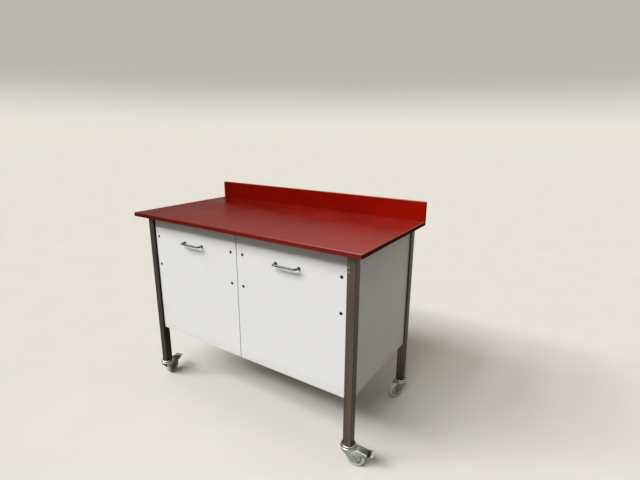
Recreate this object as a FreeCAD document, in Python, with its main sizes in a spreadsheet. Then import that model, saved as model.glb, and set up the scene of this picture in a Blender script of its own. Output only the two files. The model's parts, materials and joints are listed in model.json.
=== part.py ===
import FreeCAD, Part
import math
import os
import re
import Sketcher

# A mobile cutting table: a thick plastic top with an upstand along its rear edge, on a frame of
# square steel tube with panelled sides, two tall pull-out drawers and four swivel casters.
# Millimetres and degrees. X runs to the right, Y to the back and Z up. The origin lies on the floor,
# under the middle of the top.

doc = FreeCAD.newDocument("CuttingTable")

# Driving dimensions

SIZES = {
    # top and upstand
    "top_width": 1400,
    "top_depth": 700,
    "top_thickness": 20,
    "top_chamfer": 2,
    "top_corner": 4,
    "splash_height": 100,
    "splash_thickness": 20,
    "splash_rebate": 2,
    "splash_round": 2,
    # legs and rails
    "leg_length": 890,
    "tube_side": 40,
    "tube_wall": 2,
    "tube_corner": 3,
    "rail_height": 40,
    "rail_wall": 2,
    "rail_corner": 2,
    "side_overhang": 50,
    "front_overhang": 50,
    "rear_overhang": 10,
    # panels of the cabinet
    "panel_recess": 10,
    "panel_thickness": 10,
    "panel_chamfer": 1,
    "cabinet_height": 665,
    "rail_lift": 5,
    "partition_thickness": 20,
    # screws
    "screw_radius": 2.5,
    "screw_head_radius": 4.5,
    "screw_head_height": 3,
    "screw_play": 0.1,
    "screw_head_play": 1,
    "access_radius": 6,
    "top_screw_bite": 14,
    "top_screw_pitch": 400,
    "splash_screw_bite": 30,
    "splash_screw_pitch": 280,
    "panel_screw_bite": 7,
    "side_screw_pitch": 300,
    "back_screw_pitch": 300,
    # drawers
    "front_gap": 4,
    "front_side_gap": 3,
    "front_top_gap": 3,
    "front_play": 0.5,
    "tray_drop": 85,
    "tray_height": 210,
    "tray_depth": 530,
    "tray_wall": 1.5,
    "bolt_spacing": 160,
    "bolt_inset": 15,
    "bolt_radius": 3,
    "bolt_head_radius": 7.5,
    "bolt_head_height": 4,
    "bolt_tail": 2,
    "nut_flats": 10,
    "nut_height": 5,
    # drawer handles
    "handle_centres": 128,
    "handle_bar": 10,
    "handle_reach": 34,
    "handle_bend": 14,
    "handle_drop": 114,
    "handle_foot_radius": 8,
    "handle_foot_height": 3,
    "handle_screw_bite": 12,
    # drawer slides
    "slide_thickness": 13,
    "slide_height": 45,
    "slide_length": 500,
    "slide_setback": 5,
    "slide_sheet": 1.5,
    "slide_play": 0.3,
    "slide_lap": 2.5,
    # casters
    "wheel_diameter": 85,
    "wheel_clearance": 4,
    "tyre_width": 28,
    "tyre_round": 6,
    "core_diameter": 62,
    "core_rim": 4,
    "core_rim_width": 26,
    "core_web": 14,
    "hub_length": 34,
    "hub_radius": 20,
    "hub_play": 0.5,
    "axle_radius": 5,
    "axle_head_flats": 17,
    "axle_head_height": 8,
    "running_clearance": 0.05,
    "seat_gap": 0.3,
    "trail": 38,
    "fork_sheet": 3,
    "fork_top": 27,
    "fork_lead": 33,
    "fork_back": 40,
    "fork_drop": 3,
    "fork_heel": 26,
    "fork_boss": 10.5,
    "fork_shoulder": 7,
    "fork_bend": 10,
    "crown_radius": 37,
    "crown_height": 9.7,
    "crown_round": 3,
    "head_radius": 33,
    "head_height": 8,
    "stem_radius": 6,
    "stem_length": 38,
    "rivet_radius": 10,
    "rivet_height": 3,
    "plug_length": 42,
    "plug_play": 0.2,
    # brake pedals of the front casters
    "pedal_length": 78,
    "pedal_gap": 3,
    "pedal_rise": 3,
    "pedal_fall": 14,
    "pedal_sheet": 2,
    "skirt_heel": 30,
    "skirt_toe": 11,
    "toe_length": 22,
    "toe_rise": 6,
    "toe_bend": 4,
    "pivot_x": 20,
    "pivot_drop": 10,
    "pivot_radius": 3,
    "pivot_lug": 6,
    # directions in which the casters trail
    "front_right_angle": 14,
    "front_left_angle": 105,
    "rear_right_angle": 246,
    "rear_left_angle": 300,
}

# Places that follow from the driving dimensions

PLACES = {
    "wheel_radius": "wheel_diameter / 2",
    "crown_low": "wheel_diameter + wheel_clearance",
    "crown_top": "crown_low + crown_height",
    "head_low": "crown_top + seat_gap",
    "caster_height": "head_low + head_height",
    "under_top": "caster_height + leg_length",
    "surface": "under_top + top_thickness",
    "leg_out_x": "top_width / 2 - side_overhang",
    "leg_in_x": "leg_out_x - tube_side",
    "leg_x": "leg_out_x - tube_side / 2",
    "leg_front_y": "front_overhang - top_depth / 2",
    "leg_rear_y": "top_depth / 2 - rear_overhang",
    "front_leg_y": "leg_front_y + tube_side / 2",
    "rear_leg_y": "leg_rear_y - tube_side / 2",
    "inner_front_y": "leg_front_y + tube_side",
    "inner_rear_y": "leg_rear_y - tube_side",
    "inner_mid_y": "(inner_front_y + inner_rear_y) / 2",
    "side_length": "inner_rear_y - inner_front_y",
    "rail_depth": "tube_side - panel_recess - panel_thickness",
    "front_rail_y": "inner_front_y - rail_depth / 2",
    "rear_rail_y": "inner_rear_y + rail_depth / 2",
    "side_rail_x": "leg_in_x + rail_depth / 2",
    "top_rail_z": "under_top - rail_height / 2",
    "cabinet_z": "under_top - cabinet_height",
    "bottom_rail_z": "cabinet_z + rail_lift + rail_height / 2",
    "floor_z": "cabinet_z + rail_lift + rail_height",
    "splash_y": "top_depth / 2 - splash_thickness / 2",
    "splash_z": "surface - splash_rebate",
    "front_face_y": "leg_front_y + panel_recess - front_play",
    "front_back_y": "front_face_y + panel_thickness",
    "front_width": "leg_in_x - front_side_gap - front_gap / 2",
    "front_height": "cabinet_height - front_top_gap",
    "front_x": "front_gap / 2 + front_width / 2",
    "tray_in_x": "partition_thickness / 2 + slide_thickness",
    "tray_out_x": "leg_in_x - slide_thickness",
    "tray_width": "tray_out_x - tray_in_x",
    "tray_x": "(tray_in_x + tray_out_x) / 2",
    "tray_z": "under_top - tray_drop - tray_height",
    "tray_mid_z": "tray_z + tray_height / 2",
    "handle_z": "under_top - handle_drop",
    "slide_y": "front_back_y + slide_setback",
    "middle_height": "slide_height - 2 * slide_sheet - 2 * slide_play",
    "runner_height": "middle_height - 2 * slide_sheet - 2 * slide_play",
    "core_radius": "core_diameter / 2",
    "fork_inner": "hub_length + 2 * hub_play",
    "fork_outer": "fork_inner + 2 * fork_sheet",
    "fork_span": "2 * (trail + fork_boss + fork_lead)",
    "caster_span": "2 * caster_height",
    "pedal_inner": "fork_outer + 2 * seat_gap",
    "pedal_outer": "pedal_inner + 2 * pedal_sheet",
    "pedal_reach": "trail + pedal_length",
    "pedal_span": "2 * pedal_reach",
    "pedal_start": "crown_radius + pedal_gap",
    "pedal_top": "crown_low + pedal_rise",
    "toe_x": "pedal_reach - toe_length",
    "toe_z": "pedal_top - pedal_fall",
    "pivot_z": "crown_low - pivot_drop",
}

sheet = doc.addObject("Spreadsheet::Sheet", "Sizes")
for row, (alias, number) in enumerate(SIZES.items(), start=1):
    sheet.set(f"A{row}", alias)
    sheet.set(f"B{row}", str(number))
    sheet.setAlias(f"B{row}", alias)
doc.recompute()

NODES = {}
X_AXIS = FreeCAD.Vector(1, 0, 0)
Y_AXIS = FreeCAD.Vector(0, 1, 0)
Z_AXIS = FreeCAD.Vector(0, 0, 1)
UPRIGHT = FreeCAD.Rotation()
ALONG_X = FreeCAD.Rotation(Y_AXIS, 90)
ALONG_Y = FreeCAD.Rotation(X_AXIS, -90)
TOWARDS_LEFT = FreeCAD.Rotation(Y_AXIS, -90)
TOWARDS_FRONT = FreeCAD.Rotation(X_AXIS, 90)
SIDES = (("left", "-"), ("right", ""))

# How near two heights, two radii or a cosine and one count as equal
TOUCH = 1e-4


# Helpers

def formula(text):
    """Write a formula of named sizes and places out as an expression on the sheet."""
    def named(match):
        word = match.group()
        if word in SIZES:
            return "Sizes." + word
        if word in PLACES:
            return "(" + formula(PLACES[word]) + ")"
        return word
    return re.sub(r"[A-Za-z_]\w*", named, text)


def bind(thing, **formulas):
    """Tie properties of an object to formulas."""
    for name, text in formulas.items():
        thing.setExpression(name, formula(text))


def place(thing, x, y, z, rotation=UPRIGHT):
    """Turn an object and tie its position to formulas."""
    thing.Placement = FreeCAD.Placement(FreeCAD.Vector(), rotation)
    for axis, text in zip("xyz", (x, y, z)):
        thing.setExpression("Placement.Base." + axis, formula(text))
    return thing


def node(label, thing):
    """Name a finished sub-part, which becomes one file."""
    thing.Label = label
    NODES[label] = thing
    return thing


def box(low, size):
    """A block from its low corner and its three lengths."""
    block = doc.addObject("Part::Box", "Block")
    bind(block, Length=size[0], Width=size[1], Height=size[2])
    return place(block, *low)


def rod(radius, length, x, y, z, rotation=UPRIGHT):
    """A cylinder from its foot, along Z before it is turned."""
    cylinder = doc.addObject("Part::Cylinder", "Rod")
    bind(cylinder, Radius=radius, Height=length)
    return place(cylinder, x, y, z, rotation)


def hexagon(flats, length, x, y, z, rotation=UPRIGHT):
    """A six-sided prism from its foot, given across its flats."""
    prism = doc.addObject("Part::Prism", "Hexagon")
    prism.Polygon = 6
    bind(prism, Circumradius=f"{flats} / sqrt(3)", Height=length)
    return place(prism, x, y, z, rotation)


def fuse(*shapes):
    """Join shapes into one solid."""
    joined = doc.addObject("Part::MultiFuse", "Joined")
    joined.Shapes = list(shapes)
    return joined


def group(shapes):
    """Keep separate solids together."""
    compound = doc.addObject("Part::Compound", "Group")
    compound.Links = list(shapes)
    return compound


def cut(base, *tools):
    """Take tools away from a base."""
    result = doc.addObject("Part::Cut", "Cut")
    result.Base = base
    result.Tool = tools[0] if len(tools) == 1 else group(tools)
    return result


def sketch(body, plane):
    """An empty sketch on one of a body's own planes."""
    support = next(feature for feature in body.Origin.OriginFeatures if feature.Role == plane)
    outline = body.newObject("Sketcher::SketchObject", "Outline")
    outline.AttachmentSupport = [(support, "")]
    outline.MapMode = "FlatFace"
    return outline


def fix_point(outline, geometry, position, point):
    """Tie a point of a sketch to formulas of its distances from the sketch's origin."""
    for kind, text in zip(("DistanceX", "DistanceY"), point):
        index = outline.addConstraint(Sketcher.Constraint(kind, -1, 1, geometry, position, 1.0))
        outline.setExpression(f"Constraints[{index}]", formula(text))


def polygon(body, plane, points):
    """A closed outline whose corners are tied to formulas. It starts as a regular polygon."""
    outline = sketch(body, plane)
    count = len(points)
    start = [FreeCAD.Vector(math.cos(2 * math.pi * i / count), math.sin(2 * math.pi * i / count), 0)
             for i in range(count)]
    for i in range(count):
        outline.addGeometry(Part.LineSegment(start[i], start[(i + 1) % count]), False)
    for i in range(count):
        outline.addConstraint(Sketcher.Constraint("Coincident", i, 2, (i + 1) % count, 1))
    for i, point in enumerate(points):
        fix_point(outline, i, 1, point)
    return outline


def circle(body, plane, centre, radius):
    """A round outline tied to formulas."""
    outline = sketch(body, plane)
    outline.addGeometry(Part.Circle(FreeCAD.Vector(), Z_AXIS, 1), False)
    fix_point(outline, 0, 3, centre)
    index = outline.addConstraint(Sketcher.Constraint("Radius", 0, 1.0))
    outline.setExpression(f"Constraints[{index}]", formula(radius))
    return outline


def rectangle(width, depth):
    """Corners of a rectangle about the origin."""
    across, along = f"({width}) / 2", f"({depth}) / 2"
    return [(f"-{across}", f"-{along}"), (across, f"-{along}"), (across, along), (f"-{across}", along)]


def feature(body, kind, profile, **formulas):
    """A feature of a body, made from a sketch."""
    made = body.newObject("PartDesign::" + kind, kind)
    made.Profile = profile
    bind(made, **formulas)
    return made


def pad(body, profile, length, midplane=False):
    """Raise a sketch, to one side or to both."""
    made = feature(body, "Pad", profile, Length=length)
    made.Midplane = midplane
    return made


def pocket(body, profile, length, midplane=False):
    """Sink a sketch, to one side or to both."""
    made = feature(body, "Pocket", profile, Length=length)
    made.Midplane = midplane
    return made


def revolve(body, profile):
    """Turn a sketch once about its own upright axis."""
    made = feature(body, "Revolution", profile)
    made.ReferenceAxis = (profile, ["V_Axis"])
    made.Angle = 360
    return made


def dress(body, kind, size, wanted):
    """Round or bevel the edges of a body's last feature that a test picks."""
    doc.recompute()
    last = body.Tip
    bounds = last.Shape.BoundBox
    names = [f"Edge{i}" for i, edge in enumerate(last.Shape.Edges, start=1) if wanted(edge, bounds)]
    made = body.newObject("PartDesign::" + kind, kind)
    made.Base = (last, names)
    bind(made, **{"Radius" if kind == "Fillet" else "Size": size})
    return made


def runs_along(edge, axis):
    """Whether an edge is straight and parallel to an axis."""
    if not isinstance(edge.Curve, Part.Line):
        return False
    return abs(edge.tangentAt(edge.FirstParameter).dot(axis)) > 1 - TOUCH


def upright(edge, bounds):
    """Whether an edge runs up a body."""
    return runs_along(edge, Z_AXIS)


def upright_at_rear(edge, bounds):
    """Whether an edge runs up the rear half of a body."""
    return upright(edge, bounds) and edge.BoundBox.YMin > 0


def on_upper_face(edge, bounds):
    """Whether an edge bounds a body's upper face."""
    return edge.BoundBox.ZMin > bounds.ZMax - TOUCH


def round_on_top(edge, bounds):
    """Whether an edge is a circle round a body's upper face."""
    return isinstance(edge.Curve, Part.Circle) and on_upper_face(edge, bounds)


def across_below_top(edge, bounds):
    """Whether an edge runs through a body from front to back, below its upper face."""
    return runs_along(edge, Y_AXIS) and edge.BoundBox.ZMax < bounds.ZMax - TOUCH


def on_outer_rim(edge, bounds):
    """Whether an edge is a circle round the widest part of a turned body."""
    return isinstance(edge.Curve, Part.Circle) and edge.Curve.Radius > bounds.XMax - TOUCH


# Top and upstand

SCREW_HOLE = "screw_radius + screw_play"
TOP_SCREWS = [(f"{step} * top_screw_pitch", y)
              for y in ("front_rail_y", "rear_rail_y") for step in (-1, 0, 1)]
TOP_SCREWS += [(x, "inner_mid_y") for x in ("-(side_rail_x)", "(side_rail_x)")]
SPLASH_SCREWS = [(f"{step} * splash_screw_pitch", "splash_y") for step in (-2, -1, 0, 1, 2)]


def make_screw(length, x, y, z, rotation=UPRIGHT):
    """A pan-head screw whose head ends at the given place and whose shank goes on from there."""
    shank = rod("screw_radius", length, "0", "0", "0")
    head = rod("screw_head_radius", "screw_head_height", "0", "0", "-screw_head_height")
    return place(fuse(head, shank), x, y, z, rotation)


def make_tabletop():
    slab = doc.addObject("PartDesign::Body", "Slab")
    pad(slab, polygon(slab, "XY_Plane", rectangle("top_width", "top_depth")), "top_thickness")
    dress(slab, "Fillet", "top_corner", upright)
    dress(slab, "Chamfer", "top_chamfer", on_upper_face)
    place(slab, "0", "0", "under_top")
    holes = [rod(SCREW_HOLE, "top_screw_bite", x, y, "under_top") for x, y in TOP_SCREWS]
    holes += [rod(SCREW_HOLE, "top_thickness", x, y, "under_top") for x, y in SPLASH_SCREWS]
    rebate = box(("-top_width / 2", "top_depth / 2 - splash_thickness", "splash_z"),
                 ("top_width", "splash_thickness", "splash_rebate"))
    node("tabletop", cut(slab, rebate, *holes))
    length = "rail_wall + top_screw_bite"
    screws = [make_screw(length, x, y, "under_top - rail_wall") for x, y in TOP_SCREWS]
    node("top_screws", group(screws))


def make_backsplash():
    strip = doc.addObject("PartDesign::Body", "Upstand")
    outline = polygon(strip, "XY_Plane", rectangle("top_width", "splash_thickness"))
    pad(strip, outline, "splash_height + splash_rebate")
    dress(strip, "Fillet", "top_corner", upright_at_rear)
    dress(strip, "Fillet", "splash_round", on_upper_face)
    place(strip, "0", "splash_y", "splash_z")
    holes = [rod(SCREW_HOLE, "splash_screw_bite", x, y, "splash_z") for x, y in SPLASH_SCREWS]
    node("backsplash", cut(strip, *holes))
    length = "top_thickness - splash_rebate + splash_screw_bite"
    node("backsplash_screws", group(make_screw(length, x, y, "under_top") for x, y in SPLASH_SCREWS))


# Frame of tubes

def tube(across, along, length, wall, corner):
    """A rectangular tube with rounded outer edges, along Z from its own origin."""
    body = doc.addObject("PartDesign::Body", "Tube")
    pad(body, polygon(body, "XY_Plane", rectangle(across, along)), length)
    dress(body, "Fillet", corner, upright)
    bore = polygon(body, "XY_Plane", rectangle(f"{across} - 2 * {wall}", f"{along} - 2 * {wall}"))
    pocket(body, bore, length).Reversed = True
    return body


def side_screw_places(z):
    """Where screws enter a side rail, along the rail."""
    return [(f"inner_mid_y + {step} * side_screw_pitch / 2", z) for step in (-1, 1)]


def back_screw_places(z):
    """Where screws enter a rear rail, along the rail."""
    return [(f"{step} * back_screw_pitch / 2", z) for step in (-3, -1, 1, 3)]


def top_screw_holes(places):
    """Holes for screws in a rail's upper wall, and the wider ones below to reach them."""
    return ([rod(SCREW_HOLE, "rail_wall", x, y, "under_top - rail_wall") for x, y in places]
            + [rod("access_radius", "rail_wall", x, y, "under_top - rail_height") for x, y in places])


def make_legs():
    for depth, y in (("front", "front_leg_y"), ("rear", "rear_leg_y")):
        for side, sign in SIDES:
            leg = tube("tube_side", "tube_side", "leg_length", "tube_wall", "tube_corner")
            node(f"leg_{depth}_{side}", place(leg, f"{sign}(leg_x)", y, "caster_height"))


def make_cross_rails():
    """Rails that run along X, between the legs."""
    for level, z in (("top", "top_rail_z"), ("bottom", "bottom_rail_z")):
        for depth, y in (("front", "front_rail_y"), ("rear", "rear_rail_y")):
            rail = tube("rail_height", "rail_depth", "2 * leg_in_x", "rail_wall", "rail_corner")
            place(rail, "-(leg_in_x)", y, z, ALONG_X)
            holes = []
            if level == "top":
                holes += top_screw_holes([spot for spot in TOP_SCREWS if spot[1] == y])
            if depth == "rear":
                holes += [rod(SCREW_HOLE, "rail_depth", x, "inner_rear_y", height, ALONG_Y)
                          for x, height in back_screw_places(z)]
            node(f"{level}_rail_{depth}", cut(rail, *holes) if holes else rail)


def make_side_rails():
    """Rails that run along Y: at the top, at the bottom, and between them to carry the drawer slides."""
    levels = {"top": "top_rail_z", "bottom": "bottom_rail_z", "runner": "tray_mid_z"}
    for level, z in levels.items():
        for side, sign in SIDES:
            x = f"{sign}(side_rail_x)"
            rail = tube("rail_depth", "rail_height", "side_length", "rail_wall", "rail_corner")
            place(rail, x, "inner_front_y", z, ALONG_Y)
            holes = []
            if level == "top":
                holes += top_screw_holes([spot for spot in TOP_SCREWS if spot[0] == x])
            if level != "runner":
                holes += [rod(SCREW_HOLE, "rail_depth", f"{x} - rail_depth / 2", y, height, ALONG_X)
                          for y, height in side_screw_places(z)]
            node(f"{level}_rail_{side}", cut(rail, *holes) if holes else rail)


# Panels of the cabinet

def board(width, height):
    """A panel about its own origin: X across, Y along its height, and a bevelled face towards Z."""
    body = doc.addObject("PartDesign::Body", "Board")
    pad(body, polygon(body, "XY_Plane", rectangle(width, height)), "panel_thickness")
    dress(body, "Chamfer", "panel_chamfer", on_upper_face)
    return body


def make_side_panels():
    facing = {
        "left": FreeCAD.Rotation(-Y_AXIS, Z_AXIS, -X_AXIS),
        "right": FreeCAD.Rotation(Y_AXIS, Z_AXIS, X_AXIS),
    }
    for side, sign in SIDES:
        panel = board("side_length", "cabinet_height")
        inner = f"{sign}(leg_in_x + rail_depth)"
        place(panel, inner, "inner_mid_y", "cabinet_z + cabinet_height / 2", facing[side])
        start = inner if side == "right" else f"{inner} - panel_screw_bite"
        holes = [rod(SCREW_HOLE, "panel_screw_bite", start, y, height, ALONG_X)
                 for z in ("top_rail_z", "bottom_rail_z") for y, height in side_screw_places(z)]
        node(f"side_panel_{side}", cut(panel, *holes))


def make_back_panel():
    panel = board("2 * leg_in_x", "cabinet_height")
    place(panel, "0", "inner_rear_y + rail_depth", "cabinet_z + cabinet_height / 2", ALONG_Y)
    holes = [rod(SCREW_HOLE, "panel_screw_bite", x, "inner_rear_y + rail_depth", height, ALONG_Y)
             for z in ("top_rail_z", "bottom_rail_z") for x, height in back_screw_places(z)]
    node("back_panel", cut(panel, *holes))


def make_panel_screws():
    """Screws from inside the cabinet, through the rails and into the panels."""
    length = "rail_depth + panel_screw_bite"
    screws = []
    for z in ("top_rail_z", "bottom_rail_z"):
        for y, height in side_screw_places(z):
            screws.append(make_screw(length, "leg_in_x", y, height, ALONG_X))
            screws.append(make_screw(length, "-(leg_in_x)", y, height, TOWARDS_LEFT))
        for x, height in back_screw_places(z):
            screws.append(make_screw(length, x, "inner_rear_y", height, ALONG_Y))
    node("panel_screws", group(screws))


def make_cabinet_inside():
    """The cabinet's floor, notched round the legs, and the partition between the drawers."""
    low_x = "-(leg_in_x + rail_depth)"
    low_y = "inner_front_y - rail_depth"
    floor = box((low_x, low_y, "floor_z"),
                ("2 * (leg_in_x + rail_depth)", "side_length + 2 * rail_depth", "panel_thickness"))
    notch = ("rail_depth", "rail_depth", "panel_thickness")
    notches = [box((x, y, "floor_z"), notch) for x in (low_x, "leg_in_x") for y in (low_y, "inner_rear_y")]
    node("bottom_panel", cut(floor, *notches))
    partition = box(("-partition_thickness / 2", "inner_front_y", "floor_z + panel_thickness"),
                    ("partition_thickness", "side_length", "under_top - floor_z - panel_thickness"))
    node("partition", partition)


# Drawers

BOLT_HOLE = "bolt_radius + screw_play"


def bolt_places(sign):
    """Where the bolts of one drawer's front stand."""
    return [(f"{sign}({x})", f"tray_mid_z + {step} * bolt_spacing / 2")
            for x in ("tray_in_x + bolt_inset", "tray_out_x - bolt_inset") for step in (-1, 1)]


def handle_places(sign):
    """Where the feet of one drawer's handle stand."""
    return [f"{sign}(front_x) + {step} * handle_centres / 2" for step in (-1, 1)]


def make_fronts():
    for side, sign in SIDES:
        panel = board("front_width", "front_height")
        place(panel, f"{sign}(front_x)", "front_back_y", "cabinet_z + front_height / 2", TOWARDS_FRONT)
        holes = [rod(BOLT_HOLE, "panel_thickness", x, "front_face_y", z, ALONG_Y)
                 for x, z in bolt_places(sign)]
        holes += [rod(SCREW_HOLE, "panel_thickness", x, "front_face_y", "handle_z", ALONG_Y)
                  for x in handle_places(sign)]
        node(f"drawer_front_{side}", cut(panel, *holes))


def make_trays():
    head_hole = "screw_head_radius + screw_head_play"
    for side, sign in SIDES:
        low_x = f"{sign}(tray_x) - tray_width / 2"
        shell = box((low_x, "front_back_y", "tray_z"), ("tray_width", "tray_depth", "tray_height"))
        inside = box((f"{low_x} + tray_wall", "front_back_y + tray_wall", "tray_z + tray_wall"),
                     ("tray_width - 2 * tray_wall", "tray_depth - 2 * tray_wall", "tray_height"))
        holes = [rod(BOLT_HOLE, "tray_wall", x, "front_back_y", z, ALONG_Y) for x, z in bolt_places(sign)]
        holes += [rod(head_hole, "tray_wall", x, "front_back_y", "handle_z", ALONG_Y)
                  for x in handle_places(sign)]
        node(f"drawer_tray_{side}", cut(cut(shell, inside), *holes))


def make_front_bolts():
    """Dome-head bolts through each front and its tray, with their nuts."""
    grip = "panel_thickness + tray_wall"
    length = f"{grip} + nut_height + bolt_tail"
    ball = "((bolt_head_radius ^ 2 + bolt_head_height ^ 2) / (2 * bolt_head_height))"
    sink = f"({ball} - bolt_head_height)"
    for side, sign in SIDES:
        pieces = []
        for x, z in bolt_places(sign):
            dome = doc.addObject("Part::Sphere", "Dome")
            bind(dome, Radius=ball, Angle1=f"asin({sink} / {ball})")
            dome.Angle2 = 90
            place(dome, "0", "0", f"-{sink}")
            shank = rod("bolt_radius", length, "0", "0", f"-({length})")
            pieces.append(place(fuse(dome, shank), x, "front_face_y", z, TOWARDS_FRONT))
            bore = rod(BOLT_HOLE, "nut_height", "0", "0", "0")
            nut = cut(hexagon("nut_flats", "nut_height", "0", "0", "0"), bore)
            pieces.append(place(nut, x, f"front_face_y + {grip}", z, ALONG_Y))
        node(f"front_bolts_{side}", group(pieces))


def make_handles():
    """Bow handles of bent bar with a round foot at each end, and the screws that hold them."""
    bar = "handle_bar / 2"
    post = "handle_reach - handle_bar / 2 - handle_bend"
    for side, sign in SIDES:
        pieces = []
        for step, x in zip((-1, 1), handle_places(sign)):
            spot = (x, "front_face_y", "handle_z", TOWARDS_FRONT)
            pieces.append(rod("handle_foot_radius", "handle_foot_height", *spot))
            pieces.append(rod(bar, post, *spot))
            bend = doc.addObject("Part::Torus", "Bend")
            bind(bend, Radius1="handle_bend", Radius2=bar)
            bend.Angle3 = 90
            turned = FreeCAD.Rotation(Z_AXIS, 180 if step < 0 else 270)
            centre = (f"{x} - {step} * handle_bend", f"front_face_y - ({post})", "handle_z")
            pieces.append(place(bend, *centre, turned))
        low_x = f"{sign}(front_x) - handle_centres / 2 + handle_bend"
        grip = rod(bar, "handle_centres - 2 * handle_bend", low_x, f"front_face_y - handle_reach + {bar}",
                   "handle_z", ALONG_X)
        holes = [rod(SCREW_HOLE, "handle_screw_bite", x, "front_face_y", "handle_z", TOWARDS_FRONT)
                 for x in handle_places(sign)]
        node(f"drawer_handle_{side}", cut(fuse(grip, *pieces), *holes))
        length = "panel_thickness + handle_screw_bite"
        screws = [make_screw(length, x, "front_back_y", "handle_z", TOWARDS_FRONT)
                  for x in handle_places(sign)]
        node(f"handle_screws_{side}", group(screws))


def channel(height, start, depth, web_at_start, side_x, inward):
    """A slide's channel of bent sheet, measured from the wall that the slide is fixed to."""
    low_x = f"{side_x} + {start}" if inward > 0 else f"{side_x} - ({start}) - ({depth})"
    outer = box((low_x, "slide_y", f"tray_mid_z - ({height}) / 2"), (depth, "slide_length", height))
    web_low = web_at_start if inward > 0 else not web_at_start
    hollow_x = f"{low_x} + slide_sheet" if web_low else low_x
    hollow = box((hollow_x, "slide_y", f"tray_mid_z - ({height}) / 2 + slide_sheet"),
                 (f"{depth} - slide_sheet", "slide_length", f"{height} - 2 * slide_sheet"))
    return cut(outer, hollow)


def make_slides():
    """Three nested channels on each side of each drawer: fixed, middle and running."""
    flange = "slide_thickness - slide_lap"
    middle_start = "slide_sheet + slide_play"
    running_start = "2 * slide_sheet + 2 * slide_play"
    for side, sign in SIDES:
        outward = -1 if sign else 1
        walls = ((f"{sign}(partition_thickness / 2)", outward), (f"{sign}(leg_in_x)", -outward))
        node(f"slide_fixed_{side}", group(
            channel("slide_height", "0", flange, True, x, way) for x, way in walls))
        node(f"slide_middle_{side}", group(
            channel("middle_height", middle_start, flange, True, x, way) for x, way in walls))
        node(f"slide_running_{side}", group(
            channel("runner_height", running_start, f"slide_thickness - ({running_start})", False, x, way)
            for x, way in walls))


# Casters

CASTERS = (
    ("front_right", "leg_x", "front_leg_y"),
    ("front_left", "-(leg_x)", "front_leg_y"),
    ("rear_right", "leg_x", "rear_leg_y"),
    ("rear_left", "-(leg_x)", "rear_leg_y"),
)
BRAKED = ("front_right", "front_left")


def turn(body, corner, x, y, z, offset="0"):
    """Stand a caster's piece at its leg, turned to the side where the caster trails."""
    angle = f"{corner}_angle"
    along_x = f"{x} + ({offset}) * cos({angle})"
    along_y = f"{y} + ({offset}) * sin({angle})"
    place(body, along_x, along_y, z, FreeCAD.Rotation(Z_AXIS, 1))
    bind(body, **{"Placement.Rotation.Angle": angle})
    return body


def make_caster_heads():
    """The fixed heads with their stems, and the plugs in the legs that take the stems."""
    heads = []
    plugs = []
    inner = "tube_side - 2 * tube_wall - 2 * plug_play"
    rivet_top = "crown_low - seat_gap"
    section = [
        ("0", "caster_height + stem_length"), ("stem_radius", "caster_height + stem_length"),
        ("stem_radius", "caster_height"), ("head_radius", "caster_height"),
        ("head_radius", "head_low"), ("stem_radius", "head_low"),
        ("stem_radius", rivet_top), ("rivet_radius", rivet_top),
        ("rivet_radius", f"{rivet_top} - rivet_height"), ("0", f"{rivet_top} - rivet_height"),
    ]
    for _, x, y in CASTERS:
        head = doc.addObject("PartDesign::Body", "CasterHead")
        revolve(head, polygon(head, "XZ_Plane", section))
        heads.append(place(head, x, y, "0"))
        block = box((f"{x} - ({inner}) / 2", f"{y} - ({inner}) / 2", "caster_height"),
                    (inner, inner, "plug_length"))
        plugs.append(cut(block, rod("stem_radius + screw_play", "plug_length", x, y, "caster_height")))
    node("caster_heads", group(heads))
    node("leg_plugs", group(plugs))


def make_fork(corner, x, y):
    """Two cheeks under a round crown that turns on the head's pin."""
    fork = doc.addObject("PartDesign::Body", "Fork")
    cheek = polygon(fork, "XZ_Plane", [
        ("-fork_top", "crown_top - crown_round"), ("fork_top", "crown_top - crown_round"),
        ("fork_back", "crown_low - fork_drop"),
        ("trail + fork_boss", "wheel_radius + fork_shoulder"),
        ("trail + fork_boss", "wheel_radius - fork_boss"),
        ("trail - fork_heel", "wheel_radius - fork_boss"),
        ("-fork_lead", "crown_low - fork_drop"),
    ])
    pad(fork, cheek, "fork_outer", midplane=True)
    dress(fork, "Fillet", "fork_bend", across_below_top)
    gap = polygon(fork, "YZ_Plane", [
        ("-fork_inner / 2", "0"), ("fork_inner / 2", "0"),
        ("fork_inner / 2", "crown_low"), ("-fork_inner / 2", "crown_low"),
    ])
    pocket(fork, gap, "fork_span", midplane=True)
    crown = circle(fork, "XY_Plane", ("0", "0"), "crown_radius")
    bind(crown, **{"AttachmentOffset.Base.z": "crown_low"})
    pad(fork, crown, "crown_height")
    dress(fork, "Fillet", "crown_round", round_on_top)
    bores = [
        circle(fork, "XY_Plane", ("0", "0"), "stem_radius + running_clearance"),
        circle(fork, "XZ_Plane", ("trail", "wheel_radius"), "axle_radius + running_clearance"),
    ]
    if corner in BRAKED:
        bores.append(circle(fork, "XZ_Plane", ("pivot_x", "pivot_z"), "pivot_radius + running_clearance"))
    for bore in bores:
        pocket(fork, bore, "caster_span", midplane=True)
    node(f"caster_fork_{corner}", turn(fork, corner, x, y, "0"))


def make_axle(corner, x, y):
    """A bolt through the cheeks with its head on one side and its nut on the other."""
    half = "fork_outer / 2"
    shank = rod("axle_radius", "fork_outer + axle_head_height", "0", f"-{half}", "0", ALONG_Y)
    head = hexagon("axle_head_flats", "axle_head_height", "0", f"-{half} - axle_head_height", "0", ALONG_Y)
    nut = hexagon("axle_head_flats", "axle_head_height", "0", half, "0", ALONG_Y)
    node(f"caster_axle_{corner}", turn(fuse(shank, head, nut), corner, x, y, "wheel_radius", "trail"))


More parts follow.
